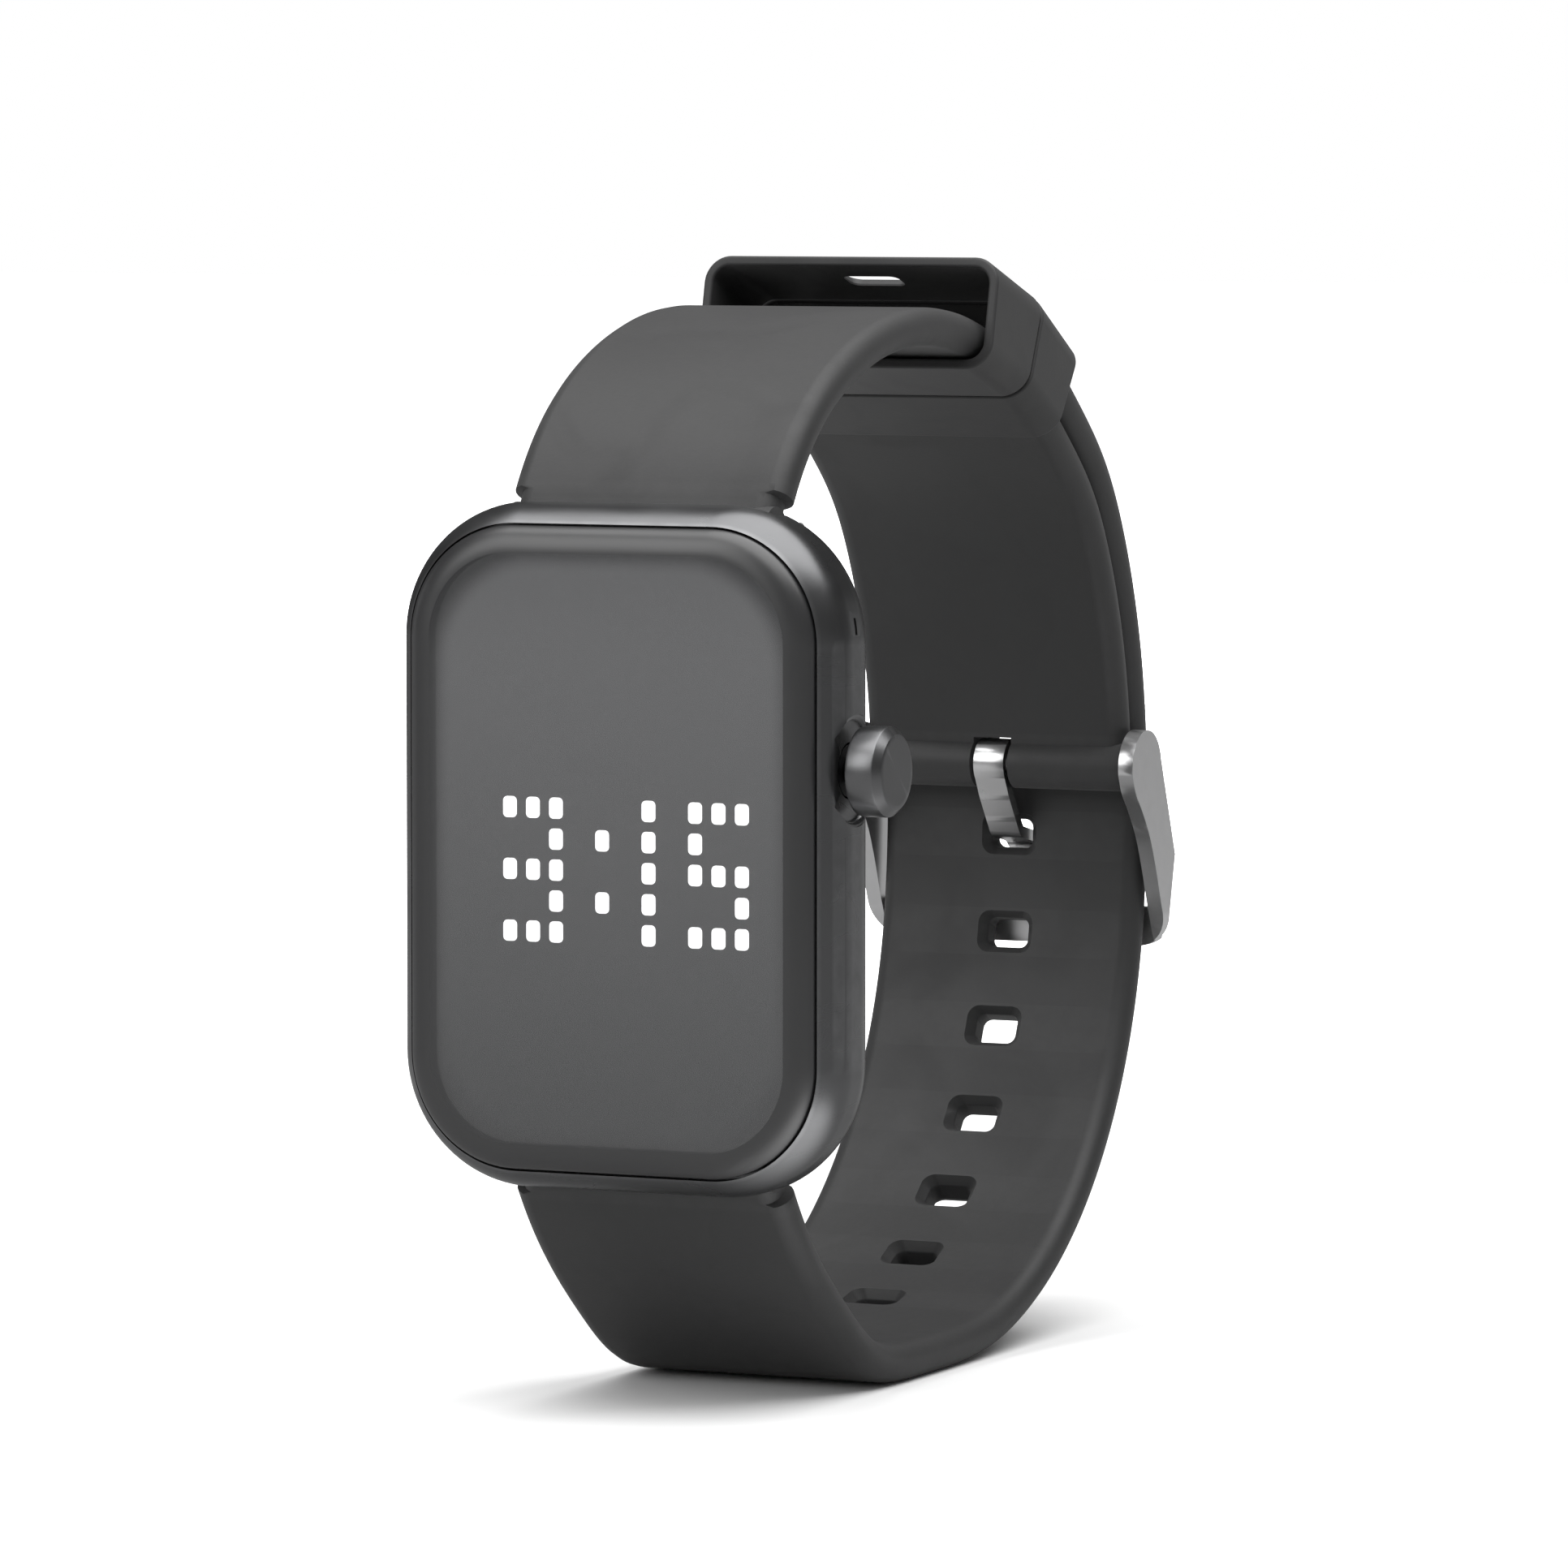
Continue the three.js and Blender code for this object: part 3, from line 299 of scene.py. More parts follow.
def solid(name, shape):
    """Object from vertices and faces, with its faces pointing out."""
    verts, faces = shape
    mesh = bpy.data.meshes.new(name)
    mesh.from_pydata(verts, [], faces)
    work = bmesh.new()
    work.from_mesh(mesh)
    bmesh.ops.remove_doubles(work, verts=work.verts, dist=1e-7)
    bmesh.ops.recalc_face_normals(work, faces=work.faces)
    work.to_mesh(mesh)
    work.free()
    piece = bpy.data.objects.new(name, mesh)
    bpy.context.scene.collection.objects.link(piece)
    return piece


def flatten(piece):
    """Turns the piece's modifiers into plain mesh."""
    graph = bpy.context.evaluated_depsgraph_get()
    mesh = bpy.data.meshes.new_from_object(piece.evaluated_get(graph))
    piece.modifiers.clear()
    old = piece.data
    piece.data = mesh
    mesh.name = piece.name
    bpy.data.meshes.remove(old)


def carve(piece, shapes, operation="DIFFERENCE"):
    """Cuts the shapes out of the piece, or adds them to it."""
    for shape in shapes:
        tool = solid("tool", shape)
        modifier = piece.modifiers.new("Carve", "BOOLEAN")
        modifier.operation = operation
        modifier.solver = "EXACT"
        modifier.object = tool
        flatten(piece)
        bpy.data.objects.remove(tool)
    if not piece.data.polygons:
        raise RuntimeError(f"{piece.name} has no faces left")


def soften(piece, width, angle=40, segments=2):
    """Small round bevel on every edge sharper than the angle."""
    modifier = piece.modifiers.new("Soft edges", "BEVEL")
    modifier.width = width
    modifier.segments = segments
    modifier.limit_method = "ANGLE"
    modifier.angle_limit = math.radians(angle)
    flatten(piece)


def finish_piece(piece, materials, body, nodes, sharp=38):
    """Smooth shading, finish, and the body and CAD nodes that the piece belongs to."""
    mesh = piece.data
    chosen = [min(polygon.material_index, len(materials) - 1) for polygon in mesh.polygons]
    mesh.materials.clear()
    for material in materials:
        mesh.materials.append(material)
    for polygon, index in zip(mesh.polygons, chosen):
        polygon.material_index = index
        polygon.use_smooth = True
    mesh.set_sharp_from_angle(angle=math.radians(sharp))
    modifier = piece.modifiers.new("Even shading", "WEIGHTED_NORMAL")
    modifier.keep_sharp = True
    flatten(piece)
    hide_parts(*nodes)
    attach(piece, body)


# ---- Line of the strap ------------------------------------------------------------------
class StrapLine:
    """Line in the YZ plane made of bends and straights. Turns are clockwise seen from +X."""

    spacing = 0.5 * MM

    def __init__(self, y, z, heading):
        self.y, self.z, self.heading, self.length = y, z, heading, 0.0
        self.points = [(y, z)]

    def bend(self, radius, angle):
        """Bend of a radius through an angle in degrees. Returns its centre."""
        start = math.radians(self.heading)
        centre = (self.y + radius * math.sin(start), self.z - radius * math.cos(start))
        steps = max(2, round(radius * math.radians(angle) / self.spacing))
        for i in range(1, steps + 1):
            now = start - math.radians(angle) * i / steps
            self.y = centre[0] - radius * math.sin(now)
            self.z = centre[1] + radius * math.cos(now)
            self.points.append((self.y, self.z))
        self.heading -= angle
        self.length += radius * math.radians(angle)
        return centre

    def straight(self, distance):
        """Straight run."""
        steps = max(1, round(distance / self.spacing))
        step = distance / steps
        for _ in range(steps):
            self.y += step * math.cos(math.radians(self.heading))
            self.z += step * math.sin(math.radians(self.heading))
            self.points.append((self.y, self.z))
        self.length += distance

    def eased(self, passes=40):
        """Points as (y, z, heading in radians, along), with each bend eased into the next."""
        line = [Vector(p) for p in self.points]
        for _ in range(passes):
            middle = [
                b * 0.5 + (a + c) * 0.25 for a, b, c in zip(line, line[1:], line[2:])]
            line = [line[0], *middle, line[-1]]
        along = 0.0
        result = []
        for i, point in enumerate(line):
            before, after = line[max(0, i - 1)], line[min(len(line) - 1, i + 1)]
            along += (point - before).length if i else 0.0
            run = after - before
            result.append((point.x, point.y, math.atan2(run.y, run.x), along))
        return result


def along_line(points, along):
    """Point of an eased line at a distance from its start."""
    for a, b in zip(points, points[1:]):
        if b[3] >= along:
            break
    share = (along - a[3]) / (b[3] - a[3])
    bend = (b[2] - a[2] + math.pi) % (2 * math.pi) - math.pi
    return (
        a[0] + share * (b[0] - a[0]),
        a[1] + share * (b[1] - a[1]),
        a[2] + share * bend,
        along,
    )


class StrapPath:
    """The strap's two lines, and what stands on them."""

    bar_inset = 1.9 * MM
    bar_depth = 1.7 * MM
    shoulder = (19.42 * MM, 37.7)
    crest = (33.25 * MM, 65.8)
    run = 5.92 * MM
    corner = (14 * MM, 20)
    back = (35.35 * MM, 30)
    ease_turn = 8
    heels = ((32 * MM, 34), (30.8 * MM, 50))
    toe = (11 * MM, 38)
    front_run = 6.16 * MM
    front = (29.5 * MM, 24)
    loop_start = 65.5
    tail_angle = 27.5
    fastened_drop = 5.3 * MM
    fastened_hole = 4
    hole_count = 10

    def __init__(self, case, strap):
        self.bar_z = case.height / 2 - self.bar_inset
        self.pitch = strap.thickness + strap.layer_gap
        upper = StrapLine(self.bar_depth, self.bar_z, self.loop_start)
        upper.bend(*self.shoulder)
        self.crest_centre = upper.bend(*self.crest)
        upper.straight(self.run)
        upper.bend(*self.corner)
        upper.bend(*self.back)
        self.upper = upper
        drop = strap.tube - strap.thickness / 2
        heading = math.radians(upper.heading)
        self.buckle = (
            upper.y + drop * math.sin(heading), upper.z - drop * math.cos(heading))
        self.lower = self.outer_line()

    def add_front(self, line):
        """The stretch from the flat sole up to the case."""
        line.bend(*self.toe)
        line.straight(self.front_run)
        line.bend(*self.front)

    def outer_line(self):
        """From the strap's tip, outside the upper strap, under the watch and to the case."""
        tip = self.crest[0] + self.pitch
        angle = math.radians(self.tail_angle)
        line = StrapLine(
            self.crest_centre[0] + tip * math.sin(angle),
            self.crest_centre[1] + tip * math.cos(angle),
            -self.tail_angle)
        crest_end = self.crest[1] - (self.loop_start - self.shoulder[1])
        line.bend(tip, crest_end - self.tail_angle)
        line.straight(self.run)
        line.bend(self.corner[0] + self.pitch, self.corner[1])
        line.bend(self.back[0] + self.pitch, self.back[1])
        self.fastened = line.length + self.fastened_drop
        front = StrapLine(0, 0, -180)
        self.add_front(front)

        def fall(radius, angle, heading):
            start, end = math.radians(heading), math.radians(heading - angle)
            return radius * (math.cos(start) - math.cos(end))

        heel = line.heading - self.ease_turn
        heel_fall = fall(*self.heels[0], heel) + fall(*self.heels[1], heel - self.heels[0][1])
        ease_fall = line.z + self.bar_z + front.z - heel_fall
        line.bend(ease_fall / fall(1, self.ease_turn, line.heading), self.ease_turn)
        for bend in self.heels:
            line.bend(*bend)
        line.straight(line.y - self.bar_depth + front.y)
        self.add_front(line)
        return line


def band_ring(point, half_width, half_thickness, steps=9):
    """Band cross-section with half-round edges. Outside is the line's left."""
    y, z, heading = point[:3]
    ring = []
    for side in (1, -1):
        for i in range(steps + 1):
            angle = math.pi * i / steps
            across = side * (half_width - half_thickness + half_thickness * math.sin(angle))
            out = side * half_thickness * math.cos(angle)
            ring.append(CENTRE + Vector((
                across, y - out * math.sin(heading), z + out * math.cos(heading))))
    return ring


# ---- Nodes ------------------------------------------------------------------------------
def new_node(nodes, kind, **values):
    """Node with values given by the names of its inputs."""
    node = nodes.new(kind)
    for label, value in values.items():
        node.inputs[label.replace("_", " ")].default_value = value
    return node


def wire(links, joints):
    """Links sockets, each given as (node, its output, next node, its input)."""
    for node, output, other, entry in joints:
        links.new(node.outputs[output], other.inputs[entry])


def new_tree(name, sockets):
    """Geometry Nodes tree with named inputs. Returns the tree, its first and last node."""
    tree = bpy.data.node_groups.new(name, "GeometryNodeTree")
    tree.interface.new_socket("Geometry", in_out="INPUT", socket_type="NodeSocketGeometry")
    for label, kind in sockets:
        tree.interface.new_socket(label, in_out="INPUT", socket_type=kind)
    tree.interface.new_socket("Geometry", in_out="OUTPUT", socket_type="NodeSocketGeometry")
    return tree, tree.nodes.new("NodeGroupInput"), tree.nodes.new("NodeGroupOutput")


def paint_all(tree, geometry, start, end):
    """Makes all instances real, gives them the tree's material and ends the tree."""
    real = tree.nodes.new("GeometryNodeRealizeInstances")
    paint = tree.nodes.new("GeometryNodeSetMaterial")
    tree.links.new(geometry, real.inputs["Geometry"])
    tree.links.new(real.outputs["Geometry"], paint.inputs["Geometry"])
    tree.links.new(start.outputs["Material"], paint.inputs["Material"])
    tree.links.new(paint.outputs["Geometry"], end.inputs["Geometry"])


def grow(piece, tree, values):
    """Runs a tree on the piece with its input values, and keeps the result as plain mesh."""
    modifier = piece.modifiers.new(tree.name, "NODES")
    modifier.node_group = tree
    for item in tree.interface.items_tree:
        if item.in_out == "INPUT" and item.name in values:
            modifier[item.identifier] = values[item.name]
    flatten(piece)


def tile_tree():
    """Rounded tiles on the vertices of a mesh."""
    tree, start, end = new_tree("Lit tiles", [
        ("Width", "NodeSocketFloat"), ("Height", "NodeSocketFloat"),
        ("Corner", "NodeSocketFloat"), ("Depth", "NodeSocketFloat"),
        ("Material", "NodeSocketMaterial"),
    ])
    nodes, links = tree.nodes, tree.links
    outline = nodes.new("GeometryNodeCurvePrimitiveQuadrilateral")
    fillet = nodes.new("GeometryNodeFilletCurve")
    fillet.mode = "POLY"
    fillet.inputs["Count"].default_value = 6
    fill = nodes.new("GeometryNodeFillCurve")
    fill.mode = "NGONS"
    extrude = nodes.new("GeometryNodeExtrudeMesh")
    base = nodes.new("GeometryNodeFlipFaces")
    whole = nodes.new("GeometryNodeJoinGeometry")
    merge = new_node(nodes, "GeometryNodeMergeByDistance", Distance=1e-6)
    upright = new_node(nodes, "GeometryNodeTransform", Rotation=(math.pi / 2, 0, 0))
    copies = nodes.new("GeometryNodeInstanceOnPoints")
    wire(links, (
        (start, "Width", outline, "Width"), (start, "Height", outline, "Height"),
        (outline, "Curve", fillet, "Curve"), (start, "Corner", fillet, "Radius"),
        (fillet, "Curve", fill, "Curve"), (fill, "Mesh", extrude, "Mesh"),
        (start, "Depth", extrude, "Offset Scale"), (fill, "Mesh", base, "Mesh"),
        (extrude, "Mesh", whole, "Geometry"), (base, "Mesh", whole, "Geometry"),
        (whole, "Geometry", merge, "Geometry"), (merge, "Geometry", upright, "Geometry"),
        (start, "Geometry", copies, "Points"), (upright, "Geometry", copies, "Instance"),
    ))
    paint_all(tree, copies.outputs["Instances"], start, end)
    return tree


def punch_tree():
    """Cuts a punch out of the mesh at each place, turned as its place says."""
    tree, start, end = new_tree("Punched holes", [
        ("Places", "NodeSocketObject"), ("Punch", "NodeSocketObject"),
        ("Material", "NodeSocketMaterial"),
    ])
    nodes, links = tree.nodes, tree.links
    places = nodes.new("GeometryNodeObjectInfo")
    punch = nodes.new("GeometryNodeObjectInfo")
    lean = nodes.new("GeometryNodeInputNamedAttribute")
    lean.data_type = "FLOAT_VECTOR"
    lean.inputs["Name"].default_value = "lean"
    copies = nodes.new("GeometryNodeInstanceOnPoints")
    cutters = nodes.new("GeometryNodeRealizeInstances")
    cut = nodes.new("GeometryNodeMeshBoolean")
    cut.operation = "DIFFERENCE"
    cut.solver = "EXACT"
    wire(links, (
        (start, "Places", places, "Object"), (start, "Punch", punch, "Object"),
        (places, "Geometry", copies, "Points"), (punch, "Geometry", copies, "Instance"),
        (lean, "Attribute", copies, "Rotation"), (copies, "Instances", cutters, "Geometry"),
        (start, "Geometry", cut, "Mesh 1"), (cutters, "Geometry", cut, "Mesh 2"),
    ))
    paint_all(tree, cut.outputs["Mesh"], start, end)
    return tree


def copies_tree():
    """Copies an object to the vertices of a mesh."""
    tree, start, end = new_tree("Repeated fitting", [
        ("Fitting", "NodeSocketObject"), ("Material", "NodeSocketMaterial")])
    nodes, links = tree.nodes, tree.links
    fitting = nodes.new("GeometryNodeObjectInfo")
    copies = nodes.new("GeometryNodeInstanceOnPoints")
    wire(links, (
        (start, "Fitting", fitting, "Object"), (start, "Geometry", copies, "Points"),
        (fitting, "Geometry", copies, "Instance"),
    ))
    paint_all(tree, copies.outputs["Instances"], start, end)
    return tree


def points_object(name, places, leans=None):
    """Object of loose vertices, with an optional turn at each."""
    mesh = bpy.data.meshes.new(name)
    mesh.from_pydata(places, [], [])
    if leans:
        attribute = mesh.attributes.new("lean", "FLOAT_VECTOR", "POINT")
        for item, lean in zip(attribute.data, leans):
            item.vector = lean
    points = bpy.data.objects.new(name, mesh)
    bpy.context.scene.collection.objects.link(points)
    return points


# ---- Materials --------------------------------------------------------------------------
def shader_group(name, inputs, outputs):
    """Empty shader node group with named float inputs and outputs."""
    tree = bpy.data.node_groups.new(name, "ShaderNodeTree")
    for label, value in inputs:
        socket = tree.interface.new_socket(label, in_out="INPUT", socket_type="NodeSocketFloat")
        socket.default_value = value
    for label in outputs:
        tree.interface.new_socket(label, in_out="OUTPUT", socket_type="NodeSocketFloat")
    return tree, tree.nodes.new("NodeGroupInput"), tree.nodes.new("NodeGroupOutput")


def grain_group():
    """Fine moulded or blasted grain, as a height and a mottled mask."""
    name = "Fine grain"
    if name in bpy.data.node_groups:
        return bpy.data.node_groups[name]
    tree, start, end = shader_group(name, [("Scale", 5000), ("Mottle Scale", 300)], [
        "Height", "Mottle"])
    nodes, links = tree.nodes, tree.links
    place = nodes.new("ShaderNodeTexCoord")
    fine = new_node(nodes, "ShaderNodeTexNoise", Detail=4, Roughness=0.6)
    mottle = new_node(nodes, "ShaderNodeTexNoise", Detail=5, Roughness=0.65)
    for noise, socket in ((fine, "Scale"), (mottle, "Mottle Scale")):
        links.new(place.outputs["Object"], noise.inputs["Vector"])
        links.new(start.outputs[socket], noise.inputs["Scale"])
    wire(links, (
        (fine, "Fac", end, "Height"), (mottle, "Fac", end, "Mottle"),
    ))
    return tree


def wear_group():
    """Mask of rubbed edges, broken up by noise."""
    name = "Rubbed edges"
    if name in bpy.data.node_groups:
        return bpy.data.node_groups[name]
    tree, start, end = shader_group(name, [("Start", 0.52), ("End", 0.6), ("Breakup", 900)], [
        "Mask"])
    nodes, links = tree.nodes, tree.links
    shape = nodes.new("ShaderNodeNewGeometry")
    place = nodes.new("ShaderNodeTexCoord")
    breakup = nodes.new("ShaderNodeTexNoise")
    ramp = nodes.new("ShaderNodeMapRange")
    product = nodes.new("ShaderNodeMath")
    product.operation = "MULTIPLY"
    wire(links, (
        (shape, "Pointiness", ramp, "Value"), (start, "Start", ramp, "From Min"),
        (start, "End", ramp, "From Max"), (place, "Object", breakup, "Vector"),
        (start, "Breakup", breakup, "Scale"), (ramp, "Result", product, 0),
        (breakup, "Fac", product, 1), (product, "Value", end, "Mask"),
    ))
    return tree


def smudge_group():
    """Soft patches left by handling, from 0 to 1."""
    name = "Handling marks"
    if name in bpy.data.node_groups:
        return bpy.data.node_groups[name]
    tree, start, end = shader_group(name, [("Scale", 70), ("Stretch", 3)], ["Mask"])
    nodes, links = tree.nodes, tree.links
    place = nodes.new("ShaderNodeTexCoord")
    patches = new_node(nodes, "ShaderNodeTexNoise", Detail=3, Distortion=0.8)
    ramp = nodes.new("ShaderNodeMapRange")
    ramp.interpolation_type = "SMOOTHSTEP"
    ramp.inputs["From Min"].default_value = 0.42
    ramp.inputs["From Max"].default_value = 0.68
    stretch = new_node(nodes, "ShaderNodeCombineXYZ", X=1, Y=1)
    scaled = nodes.new("ShaderNodeVectorMath")
    scaled.operation = "MULTIPLY"
    wire(links, (
        (start, "Stretch", stretch, "Z"), (place, "Object", scaled, 0),
        (stretch, "Vector", scaled, 1), (scaled, "Vector", patches, "Vector"),
        (start, "Scale", patches, "Scale"), (patches, "Fac", ramp, "Value"),
        (ramp, "Result", end, "Mask"),
    ))
    return tree


def dust_group():
    """Faint dust on faces that look up."""
    name = "Settled dust"
    if name in bpy.data.node_groups:
        return bpy.data.node_groups[name]
    tree, start, end = shader_group(name, [("Scale", 2500), ("Amount", 0.1)], ["Mask"])
    nodes, links = tree.nodes, tree.links
    shape = nodes.new("ShaderNodeNewGeometry")
    split = nodes.new("ShaderNodeSeparateXYZ")
    upward = nodes.new("ShaderNodeMapRange")
    place = nodes.new("ShaderNodeTexCoord")
    specks = new_node(nodes, "ShaderNodeTexNoise", Detail=8)
    product = nodes.new("ShaderNodeMath")
    product.operation = "MULTIPLY"
    scaled = nodes.new("ShaderNodeMath")
    scaled.operation = "MULTIPLY"
    wire(links, (
        (shape, "Normal", split, "Vector"), (split, "Z", upward, "Value"),
        (place, "Object", specks, "Vector"), (start, "Scale", specks, "Scale"),
        (upward, "Result", product, 0), (specks, "Fac", product, 1),
        (product, "Value", scaled, 0), (start, "Amount", scaled, 1),
        (scaled, "Value", end, "Mask"),
    ))
    return tree


class Paint:
    """One material under construction: its nodes, links and Principled shader."""

    def __init__(self, name, base, roughness, metallic=0.0, **sockets):
        self.material = bpy.data.materials.new(name)
        self.material.use_nodes = True
        self.nodes = self.material.node_tree.nodes
        self.links = self.material.node_tree.links
        self.shader = self.nodes["Principled BSDF"]
        self.base = tuple(base)
        self.shader.inputs["Base Color"].default_value = self.base
        self.shader.inputs["Roughness"].default_value = roughness
        self.shader.inputs["Metallic"].default_value = metallic
        for label, value in sockets.items():
            self.shader.inputs[label.replace("_", " ")].default_value = value

    def effect(self, group, **values):
        """Places a shared effect with this material's own values."""
        node = self.nodes.new("ShaderNodeGroup")
        node.node_tree = group
        for label, value in values.items():
            node.inputs[label.replace("_", " ")].default_value = value
        return node

    def place(self):
        """Position on the object."""
        return self.nodes.new("ShaderNodeTexCoord").outputs["Object"]

    def ramp(self, source, low=0.0, high=1.0, start=0.0, end=1.0, smooth=False):
        """Value that runs from low to high while the source runs from start to end."""
        node = new_node(
            self.nodes, "ShaderNodeMapRange", From_Min=start, From_Max=end, To_Min=low,
            To_Max=high)
        if smooth:
            node.interpolation_type = "SMOOTHSTEP"
        self.links.new(source, node.inputs["Value"])
        return node.outputs["Result"]

    def measure(self, operation, source, other=None):
        """Vector maths on a source and, where the operation needs one, a second vector."""
        node = self.nodes.new("ShaderNodeVectorMath")
        node.operation = operation
        self.links.new(source, node.inputs[0])
        if other is not None:
            node.inputs[1].default_value = other
        return node.outputs["Value" if operation in ("LENGTH", "DISTANCE") else "Vector"]

    def tint(self, mask, other, start=None):
        """Colour that runs with a mask from the base, or start, to another colour."""
        node = self.nodes.new("ShaderNodeMix")
        node.data_type = "RGBA"
        self.links.new(mask, node.inputs["Factor"])
        for label, source in (("A", self.base if start is None else start), ("B", other)):
            if isinstance(source, bpy.types.NodeSocket):
                self.links.new(source, node.inputs[label])
            else:
                node.inputs[label].default_value = tuple(source)
        return node.outputs["Result"]

    def relief(self, height, strength, distance):
        """Bump from a height."""
        node = new_node(self.nodes, "ShaderNodeBump", Strength=strength, Distance=distance)
        self.links.new(height, node.inputs["Height"])
        self.links.new(node.outputs["Normal"], self.shader.inputs["Normal"])

    def set(self, label, source):
        """Feeds one of the shader's sockets."""
        self.links.new(source, self.shader.inputs[label])


def lighter(value, factor):
    """Colour made lighter or darker by a factor."""
    return (*(min(1.0, c * factor) for c in value[:3]), 1.0)


def grained(name, base, roughness, metallic, grain, relief, spread=0.08, worn=1.6, **sockets):
    """Finish with fine grain, mottled roughness, rubbed edges and handling marks."""
    paint = Paint(name, base, roughness, metallic, **sockets)
    texture = paint.effect(grain_group(), Scale=grain, Mottle_Scale=260)
    edges = paint.effect(wear_group())
    marks = paint.effect(smudge_group())
    mottled = paint.tint(texture.outputs["Mottle"], lighter(base, 1.14))
    rubbed = paint.tint(edges.outputs["Mask"], lighter(base, worn), mottled)
    paint.set("Base Color", rubbed)
    paint.set("Roughness", paint.ramp(
        marks.outputs["Mask"], roughness, min(1.0, roughness + spread)))
    paint.relief(texture.outputs["Height"], 0.35, relief)
    return paint.material


def silicone_material(name, finishes):
    """Matte silicone with a fine skin, slight handling shine and dust."""
    paint = Paint(name, finishes.silicone, 0.56, Sheen_Weight=0.08, Sheen_Roughness=0.5)
    texture = paint.effect(grain_group(), Scale=4200, Mottle_Scale=140)
    edges = paint.effect(wear_group(), Start=0.51, End=0.58)
    marks = paint.effect(smudge_group(), Scale=110, Stretch=1)
    dust = paint.effect(dust_group(), Amount=0.05)
    mottled = paint.tint(texture.outputs["Mottle"], lighter(finishes.silicone, 1.12))
    rubbed = paint.tint(edges.outputs["Mask"], finishes.silicone_worn, mottled)
    dusted = paint.tint(dust.outputs["Mask"], (0.22, 0.22, 0.215, 1.0), rubbed)
    paint.set("Base Color", dusted)
    paint.set("Roughness", paint.ramp(marks.outputs["Mask"], 0.52, 0.62))
    paint.relief(texture.outputs["Height"], 0.3, 0.02 * MM)
    return paint.material


def brushed_material(name, base, roughness):
    """Polished steel with very fine brush lines along X."""
    paint = Paint(name, base, roughness, 1.0)
    squeeze = new_node(paint.nodes, "ShaderNodeMapping", Scale=(200, 9000, 9000))
    lines = new_node(paint.nodes, "ShaderNodeTexNoise", Scale=1, Detail=3)
    paint.links.new(paint.place(), squeeze.inputs["Vector"])
    paint.links.new(squeeze.outputs["Vector"], lines.inputs["Vector"])
    marks = paint.effect(smudge_group(), Scale=160, Stretch=1)
    edges = paint.effect(wear_group(), Start=0.53, End=0.62)
    paint.set("Base Color", paint.tint(edges.outputs["Mask"], lighter(base, 1.1)))
    paint.set("Roughness", paint.ramp(marks.outputs["Mask"], roughness, roughness + 0.02))
    paint.relief(lines.outputs["Fac"], 0.1, 0.003 * MM)
    return paint.material


def glass_material():
    """Clear cover glass with faint handling marks."""
    paint = Paint(
        "cover_glass", (0.97, 0.972, 0.975, 1), 0.01, Transmission_Weight=1.0, IOR=1.45)
    marks = paint.effect(smudge_group(), Scale=60, Stretch=1.4)
    paint.set("Roughness", paint.ramp(marks.outputs["Mask"], 0.0, 0.03))
    return paint.material


def painted_reflection_screen_material(finishes, half_x, half_z, corner, fade_width):
    """Dark screen with a painted reflection: its glow stands in for a softbox reflected in the
    glass, weakens downwards and fades towards its rounded border.
    """
    paint = Paint("screen_glow", (0.006, 0.006, 0.007, 1), 0.35, Emission_Strength=1.0)
    place = paint.place()
    split = paint.nodes.new("ShaderNodeSeparateXYZ")
    paint.links.new(place, split.inputs["Vector"])
    height = paint.ramp(split.outputs["Z"], start=CENTRE.z - half_z, end=CENTRE.z + half_z)
    paint.base = tuple(finishes.painted_reflection_bottom)
    # Painted reflection: lighter at the top of the screen, darker at the bottom.
    glow = paint.tint(height, finishes.painted_reflection_top)

    # Distance from a smaller rectangle, so that the painted reflection's fade follows the
    # rounded corners.
    reach = corner + fade_width
    away = paint.measure("ABSOLUTE", paint.measure("SUBTRACT", place, CENTRE))
    beyond = paint.measure("SUBTRACT", away, (half_x - reach, 1, half_z - reach))
    distance = paint.measure("LENGTH", paint.measure("MAXIMUM", beyond, (0, 0, 0)))
    edge = paint.ramp(distance, start=reach - fade_width, end=reach, smooth=True)
    paint.set("Emission Color", paint.tint(edge, finishes.painted_reflection_edge, glow))
    return paint.material


def window_material(finishes):
    """Dark sensor glass with four lighter openings behind it."""
    paint = Paint(
        "sensor_glass", finishes.window, 0.06, Coat_Weight=0.6, Coat_Roughness=0.03)
    place = paint.place()
    mask = None
    for x, z in ((0, 2.6), (0, -2.6), (2.6, 0), (-2.6, 0)):
        away = paint.measure("SUBTRACT", place, CENTRE + Vector((x * MM, 0, z * MM)))
        size = paint.measure("LENGTH", paint.measure("MULTIPLY", away, (1, 0, 1)))
        spot = paint.ramp(size, start=1.3 * MM, end=1.15 * MM)
        if mask is None:
            mask = spot
        else:
            both = paint.nodes.new("ShaderNodeMath")
            both.operation = "MAXIMUM"
            paint.links.new(mask, both.inputs[0])
            paint.links.new(spot, both.inputs[1])
            mask = both.outputs["Value"]
    paint.set("Base Color", paint.tint(mask, (0.05, 0.075, 0.06, 1.0)))
    marks = paint.effect(smudge_group(), Scale=120)
    paint.set("Roughness", paint.ramp(marks.outputs["Mask"], 0.05, 0.14))
    return paint.material


def board_material():
    """Green solder mask with a pattern of tracks and pads."""
    paint = Paint("circuit_board", (0.012, 0.09, 0.045, 1), 0.4)
    tracks = paint.nodes.new("ShaderNodeTexVoronoi")
    tracks.feature = "DISTANCE_TO_EDGE"
    tracks.inputs["Scale"].default_value = 700
    paint.links.new(paint.place(), tracks.inputs["Vector"])
    line = paint.ramp(tracks.outputs["Distance"], start=0.06, end=0.03)
    paint.set("Base Color", paint.tint(line, (0.03, 0.17, 0.09, 1.0)))
    paint.relief(line, 0.3, 0.02 * MM)
    return paint.material


